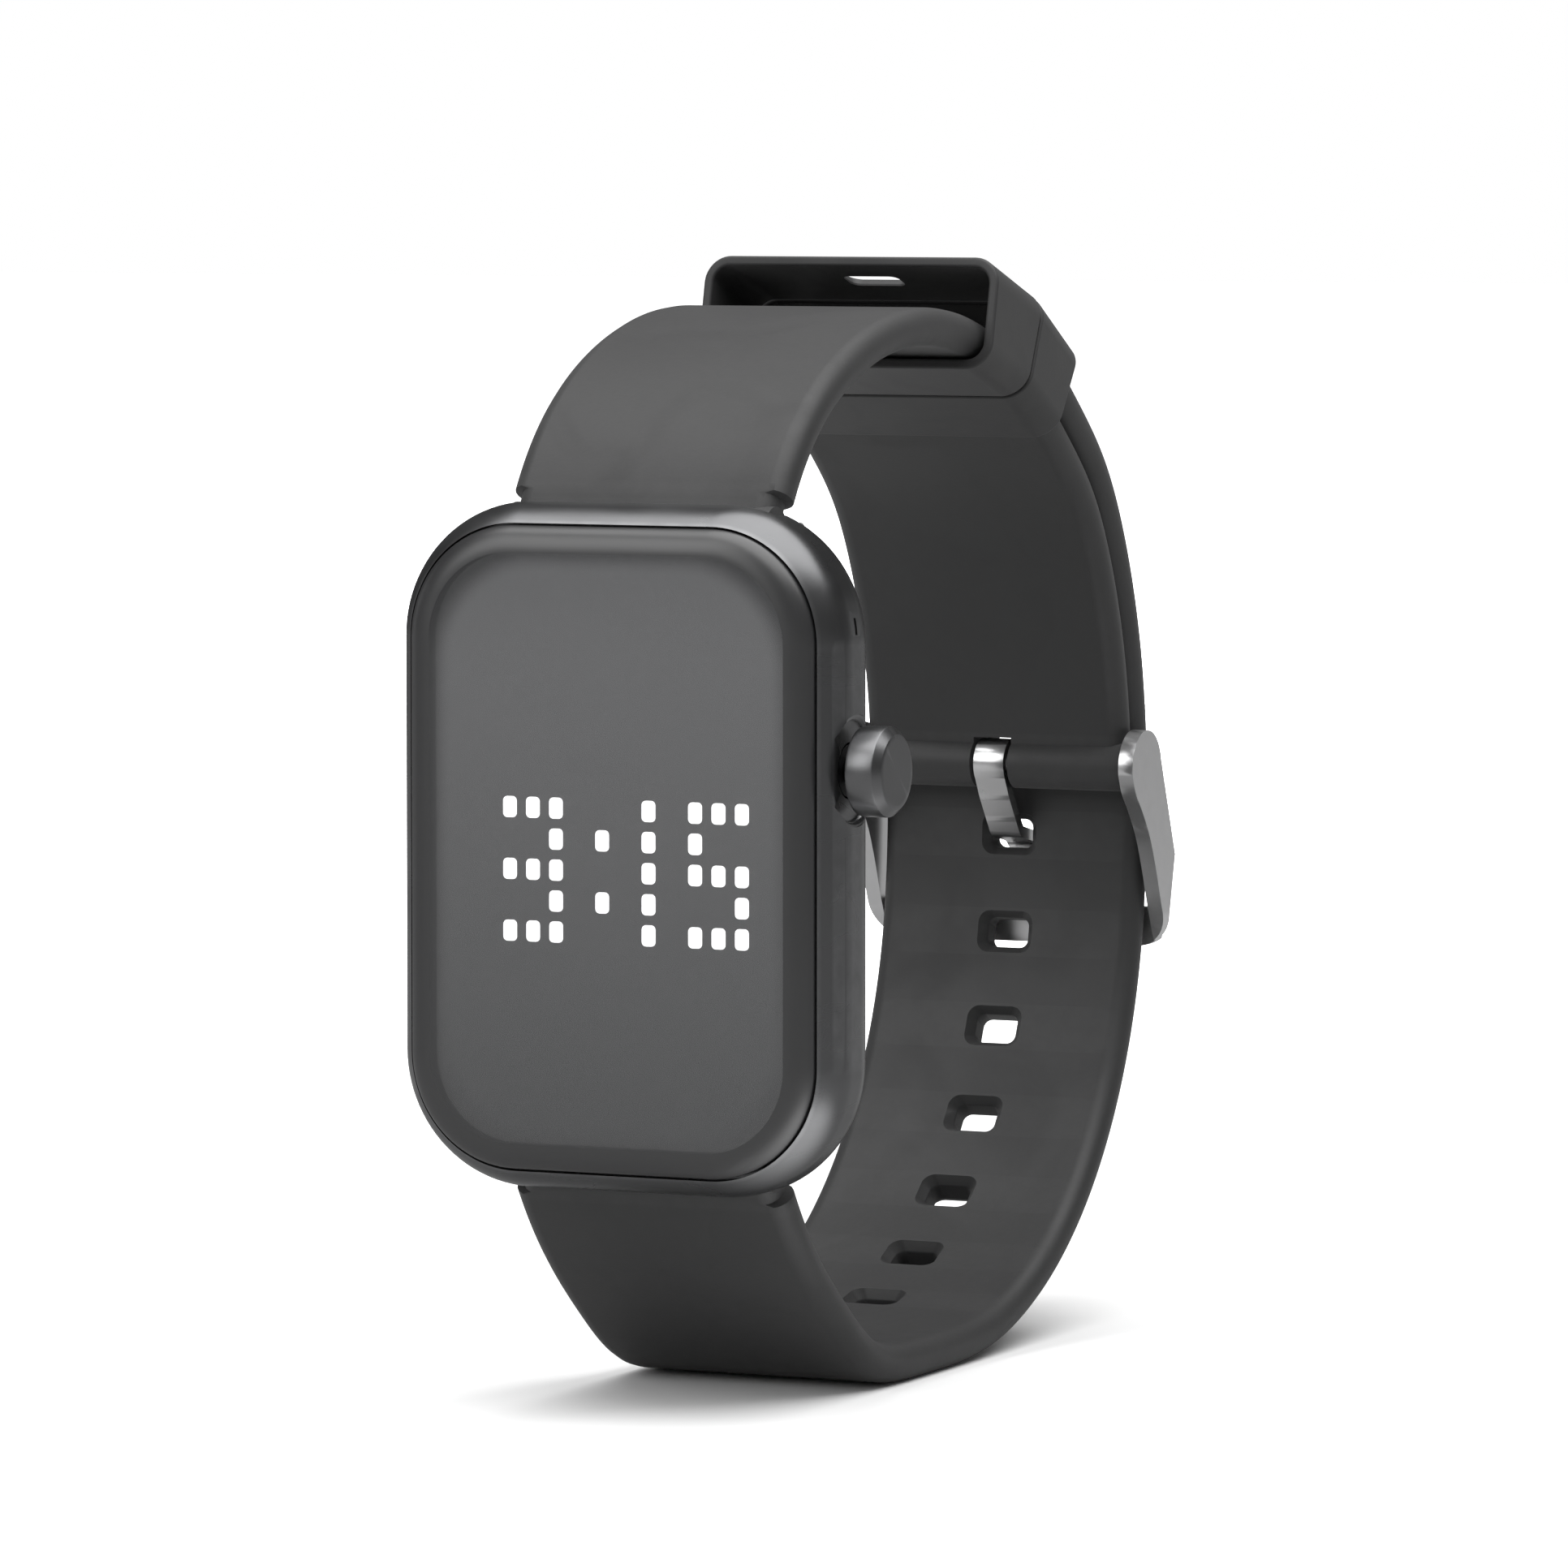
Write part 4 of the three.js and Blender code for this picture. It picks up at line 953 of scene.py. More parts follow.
# ---- Case -------------------------------------------------------------------------------
class WATCH_OT_case(bpy.types.Operator):
    """Make the case's frame with its cut-outs"""

    bl_idname = "watch.make_case"
    bl_label = "Case"

    def execute(self, context):
        scene = context.scene
        case, glass, crown = scene.watch_case, scene.watch_glass, scene.watch_crown
        strap = scene.watch_strap
        flat = FRAME_HALF_DEPTH - case.rounding
        rings = []
        steps = 18
        for side in (-1, 1):
            for i in range(steps + 1):
                share = i / steps if side < 0 else 1 - i / steps
                angle = share * math.pi / 2
                inset = case.rounding * (1 - math.sin(angle))
                rings.append(face_ring(
                    case.width / 2 - inset, case.height / 2 - inset, case.corner - inset,
                    side * (flat + case.rounding * math.cos(angle))))
        shell = solid("case", loft(rings))

        seam_y = seam_depth(case)
        gasket = 0.2 * MM
        seat = seam_y + glass.rim + 2 * FIT_GAP + gasket
        seam_x = case.width / 2 - case.seam_inset
        seam_z = case.height / 2 - case.seam_inset
        beyond = 3 * MM
        bar_z = case.height / 2 - StrapPath.bar_inset
        lug_x = strap.width / 2 + LUG_GAP
        lug_y = StrapPath.bar_depth - strap.tube - RUN_GAP
        lug_z = bar_z - strap.tube - RUN_GAP
        seat_x = case.width / 2 - case.rounding - 0.55 * MM
        lug_wall, ledge = 0.85 * MM, 0.8 * MM
        seat_z = lug_z - lug_wall
        cavity_x = case.width / 2 - case.side_wall
        cavity_z = seat_z - ledge
        cover = 0.75 * MM
        cover_y = FRAME_HALF_DEPTH - cover - FIT_GAP
        cavity_corner, ledge_corner, seat_corner = 4 * MM, 5.5 * MM, 2.5 * MM
        ledge_floor, ledge_depth = 0.6 * MM, 1.6 * MM
        carve(shell, [
            slab(seam_x, seam_z, case.corner - case.seam_inset, seam_y - beyond, seat),
            slab(cavity_x, cavity_z, cavity_corner, seat - MM, cover_y - ledge_floor),
            slab(seat_x - ledge, cavity_z, ledge_corner, cover_y - ledge_depth, cover_y + MM),
            slab(seat_x, seat_z, seat_corner, cover_y, FRAME_HALF_DEPTH + beyond),
        ])
        boss, pilot = 1.5 * MM, 0.65 * MM
        boss_foot, pilot_foot = 0.2 * MM, 1.2 * MM
        corners = [
            (x * (seat_x - boss), z * (seat_z - boss)) for x in (-1, 1) for z in (-1, 1)]
        carve(shell, [rod(boss, boss_foot, cover_y, "Y", spot, 24) for spot in corners],
              "UNION")
        end = case.height / 2 + beyond
        side_x = case.width / 2
        well = side_x - crown.well
        radius = crown.radius + RUN_GAP
        lip, wall = 0.4 * MM, 0.02 * MM
        steps = 6
        dish = [(0, well), (radius, well)]
        for i in range(steps + 1):
            angle = math.pi / 2 * i / steps
            dish.append((
                radius + lip * (1 - math.cos(angle)), well + wall + lip * math.sin(angle)))
        dish += [(radius + lip, side_x + MM), (0, side_x + MM)]
        slit_z = crown.height + 9.3 * MM
        slit_width, slit_height = 0.32 * MM, 1.1 * MM
        pin_end = lug_x + 0.95 * MM
        sleeve = 0.9 * MM
        carve(shell, [
            block(-lug_x, lug_x, lug_y, FRAME_HALF_DEPTH + beyond, lug_z, end),
            block(-lug_x, lug_x, lug_y, FRAME_HALF_DEPTH + beyond, -end, -lug_z),
            *[rod(strap.bar + FIT_GAP, -pin_end, pin_end, "X", (StrapPath.bar_depth, z))
              for z in (bar_z, -bar_z)],
            rod(crown.shaft + sleeve + FIT_GAP, cavity_x - MM, side_x + beyond, "X",
                (0, crown.height)),
            turned(dish, "X", (0, crown.height), 96),
            block(cavity_x - MM, side_x + beyond, -slit_width / 2, slit_width / 2,
                  slit_z - slit_height / 2, slit_z + slit_height / 2),
        ])
        carve(shell, [rod(pilot, pilot_foot, cover_y + MM, "Y", spot, 20)
                      for spot in corners])
        soften(shell, case.edge)
        satin = grained(
            "case_finish", scene.watch_finishes.case, 0.27, 0.95, 5200, 0.006 * MM)
        finish_piece(shell, [satin], "watch", ["case_shell"])
        return {"FINISHED"}


def seam_depth(case):
    """Depth of the seam between the frame and the glass."""
    flat = FRAME_HALF_DEPTH - case.rounding
    across = case.rounding - case.seam_inset
    return -(flat + math.sqrt(case.rounding ** 2 - across ** 2))


# ---- Glass and screen -------------------------------------------------------------------
DIGIT_ROWS = (
    "### . # ###",
    "  # : # #  ",
    "### . # ###",
    "  # : #   #",
    "### . # ###",
)
TILE_MARKS = "#:"


class WATCH_OT_glass(bpy.types.Operator):
    """Make the cover glass with its bent edge and printed mask"""

    bl_idname = "watch.make_glass"
    bl_label = "Cover glass"

    def execute(self, context):
        scene = context.scene
        case, glass = scene.watch_case, scene.watch_glass
        seam_y = seam_depth(case)
        half_x = case.width / 2 - case.seam_inset - FIT_GAP
        half_z = case.height / 2 - case.seam_inset - FIT_GAP
        corner = case.corner - case.seam_inset - FIT_GAP

        def rim(inset, y):
            return face_ring(half_x - inset, half_z - inset, corner - inset, y)

        border = glass.screen_border - 2 * FIT_GAP
        pocket_y = seam_y - glass.dome + glass.thickness
        bevel, flat_start = 0.12 * MM, 0.5 * MM
        rings = [
            rim(border, pocket_y),
            rim(border, seam_y + glass.rim),
            rim(bevel, seam_y + glass.rim),
            rim(0, seam_y + glass.rim - bevel),
        ]
        steps = 20
        for i in range(steps + 1):
            angle = math.pi / 2 * i / steps
            rings.append(rim(
                glass.bend * (1 - math.cos(angle)), seam_y - glass.dome * math.sin(angle)))
        rings.append(rim(glass.bend + flat_start, seam_y - glass.dome))
        pane = solid("cover_glass", loft(rings))
        clear_x = half_x - border + FIT_GAP
        clear_z = half_z - border + FIT_GAP
        # Only the flat faces over the screen are clear. The rest is printed.
        for polygon in pane.data.polygons:
            place = polygon.center - CENTRE
            inside = abs(place.x) < clear_x and abs(place.z) < clear_z
            flat = abs(polygon.normal.y) > 0.999 and place.y < pocket_y + 0.1 * MM
            if not (inside and flat):
                polygon.material_index = 1
        ink = grained(
            "printed_mask", scene.watch_finishes.ink, 0.36, 0.0, 5000, 0.0005 * MM, spread=0.03,
            Specular_IOR_Level=0.95)
        finish_piece(pane, [glass_material(), ink], "watch", ["front_glass"])
        return {"FINISHED"}


class WATCH_OT_screen(bpy.types.Operator):
    """Make the screen and its lit digits"""

    bl_idname = "watch.make_screen"
    bl_label = "Screen and digits"

    def execute(self, context):
        scene = context.scene
        case, glass, finishes = scene.watch_case, scene.watch_glass, scene.watch_finishes
        half_x = case.width / 2 - case.seam_inset - glass.screen_border
        half_z = case.height / 2 - case.seam_inset - glass.screen_border
        corner = case.corner - case.seam_inset - glass.screen_border
        front = seam_depth(case) - glass.dome + glass.thickness + FIT_GAP
        panel, light_depth = 0.75 * MM, 0.05 * MM
        screen = solid("screen", slab(half_x, half_z, corner, front, front + panel))
        # The screen's emitted glow is a painted reflection of a softbox in the glass.
        glow = painted_reflection_screen_material(finishes, half_x, half_z, corner, glass.painted_reflection_fade)
        finish_piece(screen, [glow], "watch", ["display_panel"])

        places = []
        columns, rows = len(DIGIT_ROWS[0]), len(DIGIT_ROWS)
        for row, line in enumerate(DIGIT_ROWS):
            for column, mark in enumerate(line):
                if mark in TILE_MARKS:
                    places.append(CENTRE + Vector((
                        glass.digits_right + (column - (columns - 1) / 2) * glass.column_pitch,
                        front - 0.01 * MM,
                        glass.digits_up + ((rows - 1) / 2 - row) * glass.row_pitch,
                    )))
        digits = points_object("lit_digits", places)
        light = Paint("digit_light", (0.8, 0.8, 0.8, 1), 0.4, Emission_Strength=1.1)
        grain = light.effect(grain_group(), Scale=3000, Mottle_Scale=900)
        light.base = lighter(finishes.digits, 0.97)
        light.set("Emission Color", light.tint(grain.outputs["Mottle"], finishes.digits))
        grow(digits, tile_tree(), {
            "Width": glass.tile_width, "Height": glass.tile_height,
            "Corner": glass.tile_corner, "Depth": light_depth, "Material": light.material,
        })
        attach(digits, "watch")
        return {"FINISHED"}


# ---- Crown ------------------------------------------------------------------------------
class WATCH_OT_crown(bpy.types.Operator):
    """Make the crown's cap"""

    bl_idname = "watch.make_crown"
    bl_label = "Crown"

    def execute(self, context):
        scene = context.scene
        case, crown = scene.watch_case, scene.watch_crown
        end = case.width / 2 + crown.reach
        start = end - crown.head
        socket = crown.shaft + FIT_GAP
        socket_end = start + 1.3 * MM
        soft = 0.12 * MM
        bevel = end - crown.chamfer
        face = crown.radius - crown.chamfer
        cap = solid("crown", turned([
            (0, socket_end),
            (socket, socket_end),
            (socket, start),
            (crown.radius - 2 * soft, start),
            (crown.radius - 0.6 * soft, start + 0.5 * soft),
            (crown.radius, start + 2 * soft),
            (crown.radius, bevel - soft),
            (crown.radius - 0.2 * soft, bevel),
            (crown.radius - 0.8 * soft, bevel + 0.6 * soft),
            (face + 0.5 * soft, end - 0.7 * soft),
            (face, end - 0.25 * soft),
            (face - soft, end),
            (face - 3 * soft, end),
            (0, end),
        ], "X", (0, crown.height), 128))
        material = grained(
            "crown_finish", scene.watch_finishes.crown, 0.28, 0.95, 6500, 0.008 * MM)
        finish_piece(cap, [material], "crown", ["crown_cap"], sharp=25)
        return {"FINISHED"}


# ---- Strap ------------------------------------------------------------------------------
def strap_points(line, marks):
    """Points of a strap's line at even steps and at the marked distances."""
    eased = line.eased()
    end = eased[-1][3]
    steps = round(end / (0.6 * MM))
    places = [end * i / steps for i in range(steps + 1)]
    places = [p for p in places if all(abs(p - mark) > 0.2 * MM for mark in marks)]
    return [along_line(eased, min(p, end)) for p in sorted(places + marks)]


def punch_shape(strap):
    """Cutter of one hole: a rounded hole with a moulded bevel at both faces."""
    half = strap.thickness / 2
    recess = strap.hole_recess
    levels = [
        (-half - 0.3 * MM, recess + 0.1 * MM), (-half, recess), (-half + 0.55 * MM, 0.06 * MM),
        (-half + 0.7 * MM, 0), (half - 0.7 * MM, 0), (half - 0.55 * MM, 0.06 * MM),
        (half, recess), (half + 0.3 * MM, recess + 0.1 * MM),
    ]
    rings = []
    for y, grow_by in levels:
        outline = rounded_outline(
            strap.hole_width / 2 + grow_by, strap.hole_length / 2 + grow_by * 0.8,
            0.6 * MM + grow_by * 0.5, 6)
        rings.append([Vector((u, y, v)) for u, v in outline])
    return loft(rings)


class WATCH_OT_straps(bpy.types.Operator):
    """Make the two straps"""

    bl_idname = "watch.make_straps"
    bl_label = "Straps"

    def execute(self, context):
        scene = context.scene
        strap = scene.watch_strap
        path = StrapPath(scene.watch_case, strap)
        silicone = silicone_material("strap_silicone", scene.watch_finishes)
        half = strap.thickness / 2
        lug_half = strap.width / 2 - 0.6 * MM
        shoulder = path.bar_inset + 0.5 * MM
        step = 0.1 * MM
        bore = strap.bar + FIT_GAP
        upper_end = (path.bar_depth, path.bar_z)
        lower_end = (path.bar_depth, -path.bar_z)

        def band(points, width_at, thickness_at=lambda along: half):
            return loft([
                band_ring(p, width_at(p[3]), thickness_at(p[3])) for p in points])

        points = strap_points(path.upper, [shoulder - step, shoulder + step])
        upper = solid("upper_strap", band(
            points, lambda along: lug_half if along < shoulder else strap.width / 2))
        carve(upper, [
            rod(strap.tube, -lug_half, lug_half, "X", upper_end, 64),
            rod(strap.tube, -strap.width / 2, strap.width / 2, "X", path.buckle, 64),
        ], "UNION")
        slot_x = scene.watch_buckle.tongue_width / 2 + RUN_GAP
        y, z = path.buckle
        carve(upper, [
            rod(bore, -strap.width, strap.width, "X", upper_end),
            rod(bore, -strap.width, strap.width, "X", path.buckle),
            block(-slot_x, slot_x, y - 3 * MM, y + 3 * MM, z - 3 * MM,
                  z + strap.tube + 0.12 * MM),
        ])
        soften(upper, 0.12 * MM)
        finish_piece(upper, [silicone], "watch", ["upper_strap"])

        tip, tip_half = 6 * MM, 4 * MM
        eased = path.lower.eased()
        end = eased[-1][3]
        tip_marks = [f * tip for f in (
            0, 0.006, 0.02, 0.045, 0.08, 0.13, 0.2, 0.3, 0.42, 0.56, 0.72, 0.88, 1)]
        marks = [end - shoulder - step, end - shoulder + step]
        points = [p for p in strap_points(path.lower, marks) if p[3] > tip + step]
        points = [along_line(eased, mark) for mark in tip_marks] + points

        def lower_width(along):
            if along > end - shoulder:
                return lug_half
            from_tip = max(0.0, 1 - along / tip)
            return strap.width / 2 - (strap.width / 2 - tip_half) * (
                1 - math.sqrt(1 - from_tip ** 2))

        def lower_thickness(along):
            rounding, thinning = 0.7 * MM, 0.6 * MM
            short = max(0.0, 1 - along / rounding)
            return half - thinning * (1 - math.sqrt(1 - short ** 2))

        lower = solid("lower_strap", band(points, lower_width, lower_thickness))
        carve(lower, [rod(strap.tube, -lug_half, lug_half, "X", lower_end, 64)], "UNION")
        carve(lower, [rod(bore, -strap.width, strap.width, "X", lower_end)])
        places, leans = [], []
        for i in range(1, path.hole_count + 1):
            y, z, heading, _ = along_line(
                eased, path.fastened + (i - path.fastened_hole) * strap.hole_pitch)
            places.append(CENTRE + Vector((0, y, z)))
            leans.append((heading - math.pi / 2, 0, 0))
        holes = points_object("hole_places", places, leans)
        punch = solid("punch", punch_shape(strap))
        grow(lower, punch_tree(), {"Places": holes, "Punch": punch, "Material": silicone})
        bpy.data.objects.remove(holes)
        bpy.data.objects.remove(punch)
        soften(lower, 0.06 * MM, 32)
        finish_piece(lower, [silicone], "watch", ["lower_strap"])
        return {"FINISHED"}


# ---- Keepers ----------------------------------------------------------------------------
# First and last angle of each keeper round the crest's centre, in degrees from straight up.
FREE_KEEPER = (12.4, 24.5)
FIXED_KEEPER = (25.0, 35.6)


class WATCH_OT_keepers(bpy.types.Operator):
    """Make the free and the fixed keeper"""

    bl_idname = "watch.make_keepers"
    bl_label = "Keepers"

    def execute(self, context):
        scene = context.scene
        strap = scene.watch_strap
        path = StrapPath(scene.watch_case, strap)
        silicone = silicone_material("keeper_silicone", scene.watch_finishes)
        crest = path.crest[0]
        inner = crest - strap.thickness / 2 - strap.keeper_gap
        outer = crest + path.pitch + strap.thickness / 2 + OVER_STRAP
        wall = strap.keeper_wall
        corner = strap.keeper_corner - wall

        def ring(angle, grown):
            low, high = inner - grown, outer + grown
            outline = rounded_outline(
                strap.width / 2 + strap.keeper_gap + grown, (high - low) / 2, corner + grown, 12)
            points = []
            for u, v in outline:
                radial = (low + high) / 2 + v
                points.append(CENTRE + Vector((
                    u,
                    path.crest_centre[0] + radial * math.sin(math.radians(angle)),
                    path.crest_centre[1] + radial * math.cos(math.radians(angle)),
                )))
            return points

        def keeper(name, lead, trail):
            lip = 0.2 * MM
            step = math.degrees(lip / outer)
            lip_steps, steps = 4, 8
            lead_in, trail_in = lead + step, trail - step
            # Distance from the end face and height, over the outer and then the inner lip.
            profile = []
            for i in range(1, lip_steps + 1):
                angle = math.pi / 2 * i / lip_steps
                profile.append((1 - math.sin(angle), wall - lip * (1 - math.cos(angle))))
            for i in range(lip_steps):
                angle = math.pi / 2 * i / lip_steps
                profile.append((1 - math.cos(angle), lip * (1 - math.sin(angle))))
            return solid(name, loft([
                ring(trail_in, wall),
                ring(lead_in, wall),
                *[ring(lead + step * back, grown) for back, grown in profile],
                *[ring(lead_in + (trail_in - lead_in) * i / steps, 0)
                  for i in range(steps + 1)],
                *[ring(trail - step * back, wall - grown) for back, grown in profile],
            ], endless=True))

        free = keeper("free_keeper_loop", *FREE_KEEPER)
        angle = math.radians(sum(FREE_KEEPER) / 2)
        levels = [
            (-1.5 * MM, 0), (0.12 * MM, 0), (wall - 0.12 * MM, 0.3 * MM), (wall, 0.45 * MM),
            (wall + MM, 0.5 * MM)]
        outward = Matrix.Rotation(-angle, 3, "X")
        pivot = CENTRE + Vector((0, *path.crest_centre))
        window = []
        for level, grown in levels:
            outline = rounded_outline(
                strap.hole_width / 2 + 0.5 * MM + grown, strap.hole_length / 2 + grown,
                0.6 * MM + grown, 8)
            window.append([pivot + outward @ Vector((u, v, outer + level)) for u, v in outline])
        carve(free, [loft(window)])
        finish_piece(free, [silicone], "free_keeper", ["free_keeper"], sharp=32)
        fixed = keeper("fixed_keeper_loop", *FIXED_KEEPER)
        finish_piece(fixed, [silicone], "watch", ["fixed_keeper"], sharp=32)
        return {"FINISHED"}


# ---- Buckle -----------------------------------------------------------------------------
def strip_outline(line, thickness):
    """Outline of a bent strip of even thickness that follows a line of (y, z) points."""
    sides = ([], [])
    for i, point in enumerate(line):
        here = Vector(point)
        before = here - Vector(line[max(0, i - 1)])
        after = Vector(line[min(len(line) - 1, i + 1)]) - here
        first = (before if before.length else after).normalized()
        second = (after if after.length else before).normalized()
        mitre = (first + second).normalized()
        reach = thickness / 2 / mitre.dot(first)
        for side, sign in zip(sides, (1, -1)):
            side.append((here.x - sign * mitre.y * reach, here.y + sign * mitre.x * reach))
    return sides[0] + sides[1][::-1]


def smooth_line(corners, radius=0.9 * MM, steps=5):
    """Line of (y, z) points with each inner corner rounded."""
    line = [Vector(corners[0])]
    for before, here, after in zip(corners, corners[1:], corners[2:]):
        before, here, after = Vector(before), Vector(here), Vector(after)
        reach = min(radius, (here - before).length * 0.45, (after - here).length * 0.45)
        start = here + (before - here).normalized() * reach
        end = here + (after - here).normalized() * reach
        for i in range(steps + 1):
            t = i / steps
            line.append(start * (1 - t) ** 2 + here * 2 * t * (1 - t) + end * t ** 2)
    return [*line, Vector(corners[-1])]


class WATCH_OT_buckle(bpy.types.Operator):
    """Make the buckle's frame and its tongue"""

    bl_idname = "watch.make_buckle"
    bl_label = "Buckle"

    def execute(self, context):
        scene = context.scene
        strap, buckle = scene.watch_strap, scene.watch_buckle
        path = StrapPath(scene.watch_case, strap)
        steel = brushed_material("buckle_steel", scene.watch_finishes.steel, 0.3)
        y0, z0 = path.buckle
        inner = strap.width / 2 + LUG_GAP
        outer = inner + buckle.arm
        seat = 0.45 * MM
        low = -buckle.length
        crossbar_z = z0 + low + buckle.crossbar_height / 2
        eased = path.lower.eased()
        beside = next(p for p in eased if p[1] < crossbar_z and p[0] > path.crest_centre[0])
        front = beside[0] + strap.thickness / 2 + OVER_STRAP - y0
        back = front + buckle.crossbar
        steps = 28
        angles = [math.radians(10 + 180 * i / steps) for i in range(steps + 1)]
        head = [(buckle.head * math.cos(a), buckle.head * math.sin(a)) for a in angles]
        edge = [Vector((y * MM, z * MM)) for y, z in (
            (-2.1, -1.7), (-0.6, -3.3), (0.7, -5.1), (1.8, -7.5), (2.8, -10.2))]
        foot = [(front - 0.2 * MM, low), (back - buckle.taper, low), (back, low * 0.5)]
        front_edge = smooth_line([head[-1], *edge, foot[0]], 1.4 * MM, 4)
        outline = [(y0 + y, z0 + z) for y, z in [*head[:-1], *front_edge, *foot[1:]]]
        shape = solid("buckle", side_plate(outline, -outer, -inner))

        def corner_arc(corner):
            """Corner of a cutter that rounds an edge, as steps across and up from the edge."""
            steps = 12
            angles = [math.pi / 2 * i / steps for i in range(steps + 1)]
            arc = [
                (corner * math.cos(a) - corner, corner - corner * math.sin(a)) for a in angles]
            return [*arc, (-corner, -MM), (MM, -MM), (MM, corner)]

        carve(shape, [
            side_plate(outline, inner, outer),
            block(-outer, outer, y0 + front, y0 + back, z0 + low,
                  z0 + low + buckle.crossbar_height),
        ], "UNION")
        slot_x = buckle.tongue_width / 2 + RUN_GAP
        bore = strap.bar + FIT_GAP
        pin_end = inner + buckle.arm * 0.7
        rounders = []
        for side in (-1, 1):
            rounders.append(loft([[
                CENTRE + Vector((side * (outer + x), y, z0 + low + z))
                for x, z in corner_arc(2.6 * MM)
            ] for y in (y0 - MM, y0 + back + MM)]))
            rounders.append(loft([[
                CENTRE + Vector((
                    side * (outer + x), y0 + back - buckle.taper * down - y,
                    z0 + low * (0.5 + down / 2)))
                for x, y in corner_arc((0.05 + 1.05 * down) * MM)
            ] for down in (0, 0.25, 0.5, 0.75, 1.0, 1.1)]))
        carve(shape, [
            rod(bore, -pin_end, pin_end, "X", path.buckle),
            block(-slot_x, slot_x, y0 + back - seat, y0 + back + MM,
                  z0 + low - MM, z0),
            *rounders,
        ])
        soften(shape, buckle.edge, 30, 3)
        finish_piece(shape, [steel], "buckle", ["buckle_frame"])

        hole = along_line(eased, path.fastened)[1] - z0
        tip = back - seat + FIT_GAP + buckle.tongue / 2
        line = smooth_line([
            (-1.25 * MM, -0.5 * MM),
            (-0.3 * MM, -2.2 * MM),
            (0.85 * MM, hole + 1.45 * MM),
            (1.7 * MM, hole + 0.28 * MM),
            (front - 0.1 * MM, hole - 0.27 * MM),
            (tip - 0.1 * MM, hole - 1.1 * MM),
            (tip, low + MM),
        ], 0.3 * MM, 3)
        half = buckle.tongue_width / 2
        strip = strip_outline([(y0 + y, z0 + z) for y, z in line], buckle.tongue)
        tongue = solid("tongue", side_plate(strip, -half, half))
        carve(tongue, [rod(strap.tube, -half, half, "X", path.buckle, 64)], "UNION")
        carve(tongue, [rod(bore, -strap.width, strap.width, "X", path.buckle)])
        soften(tongue, 0.14 * MM, 30, 3)
        tongue_steel = brushed_material("tongue_steel", scene.watch_finishes.steel, 0.26)
        finish_piece(tongue, [tongue_steel], "tongue", ["buckle_tongue"])
        return {"FINISHED"}


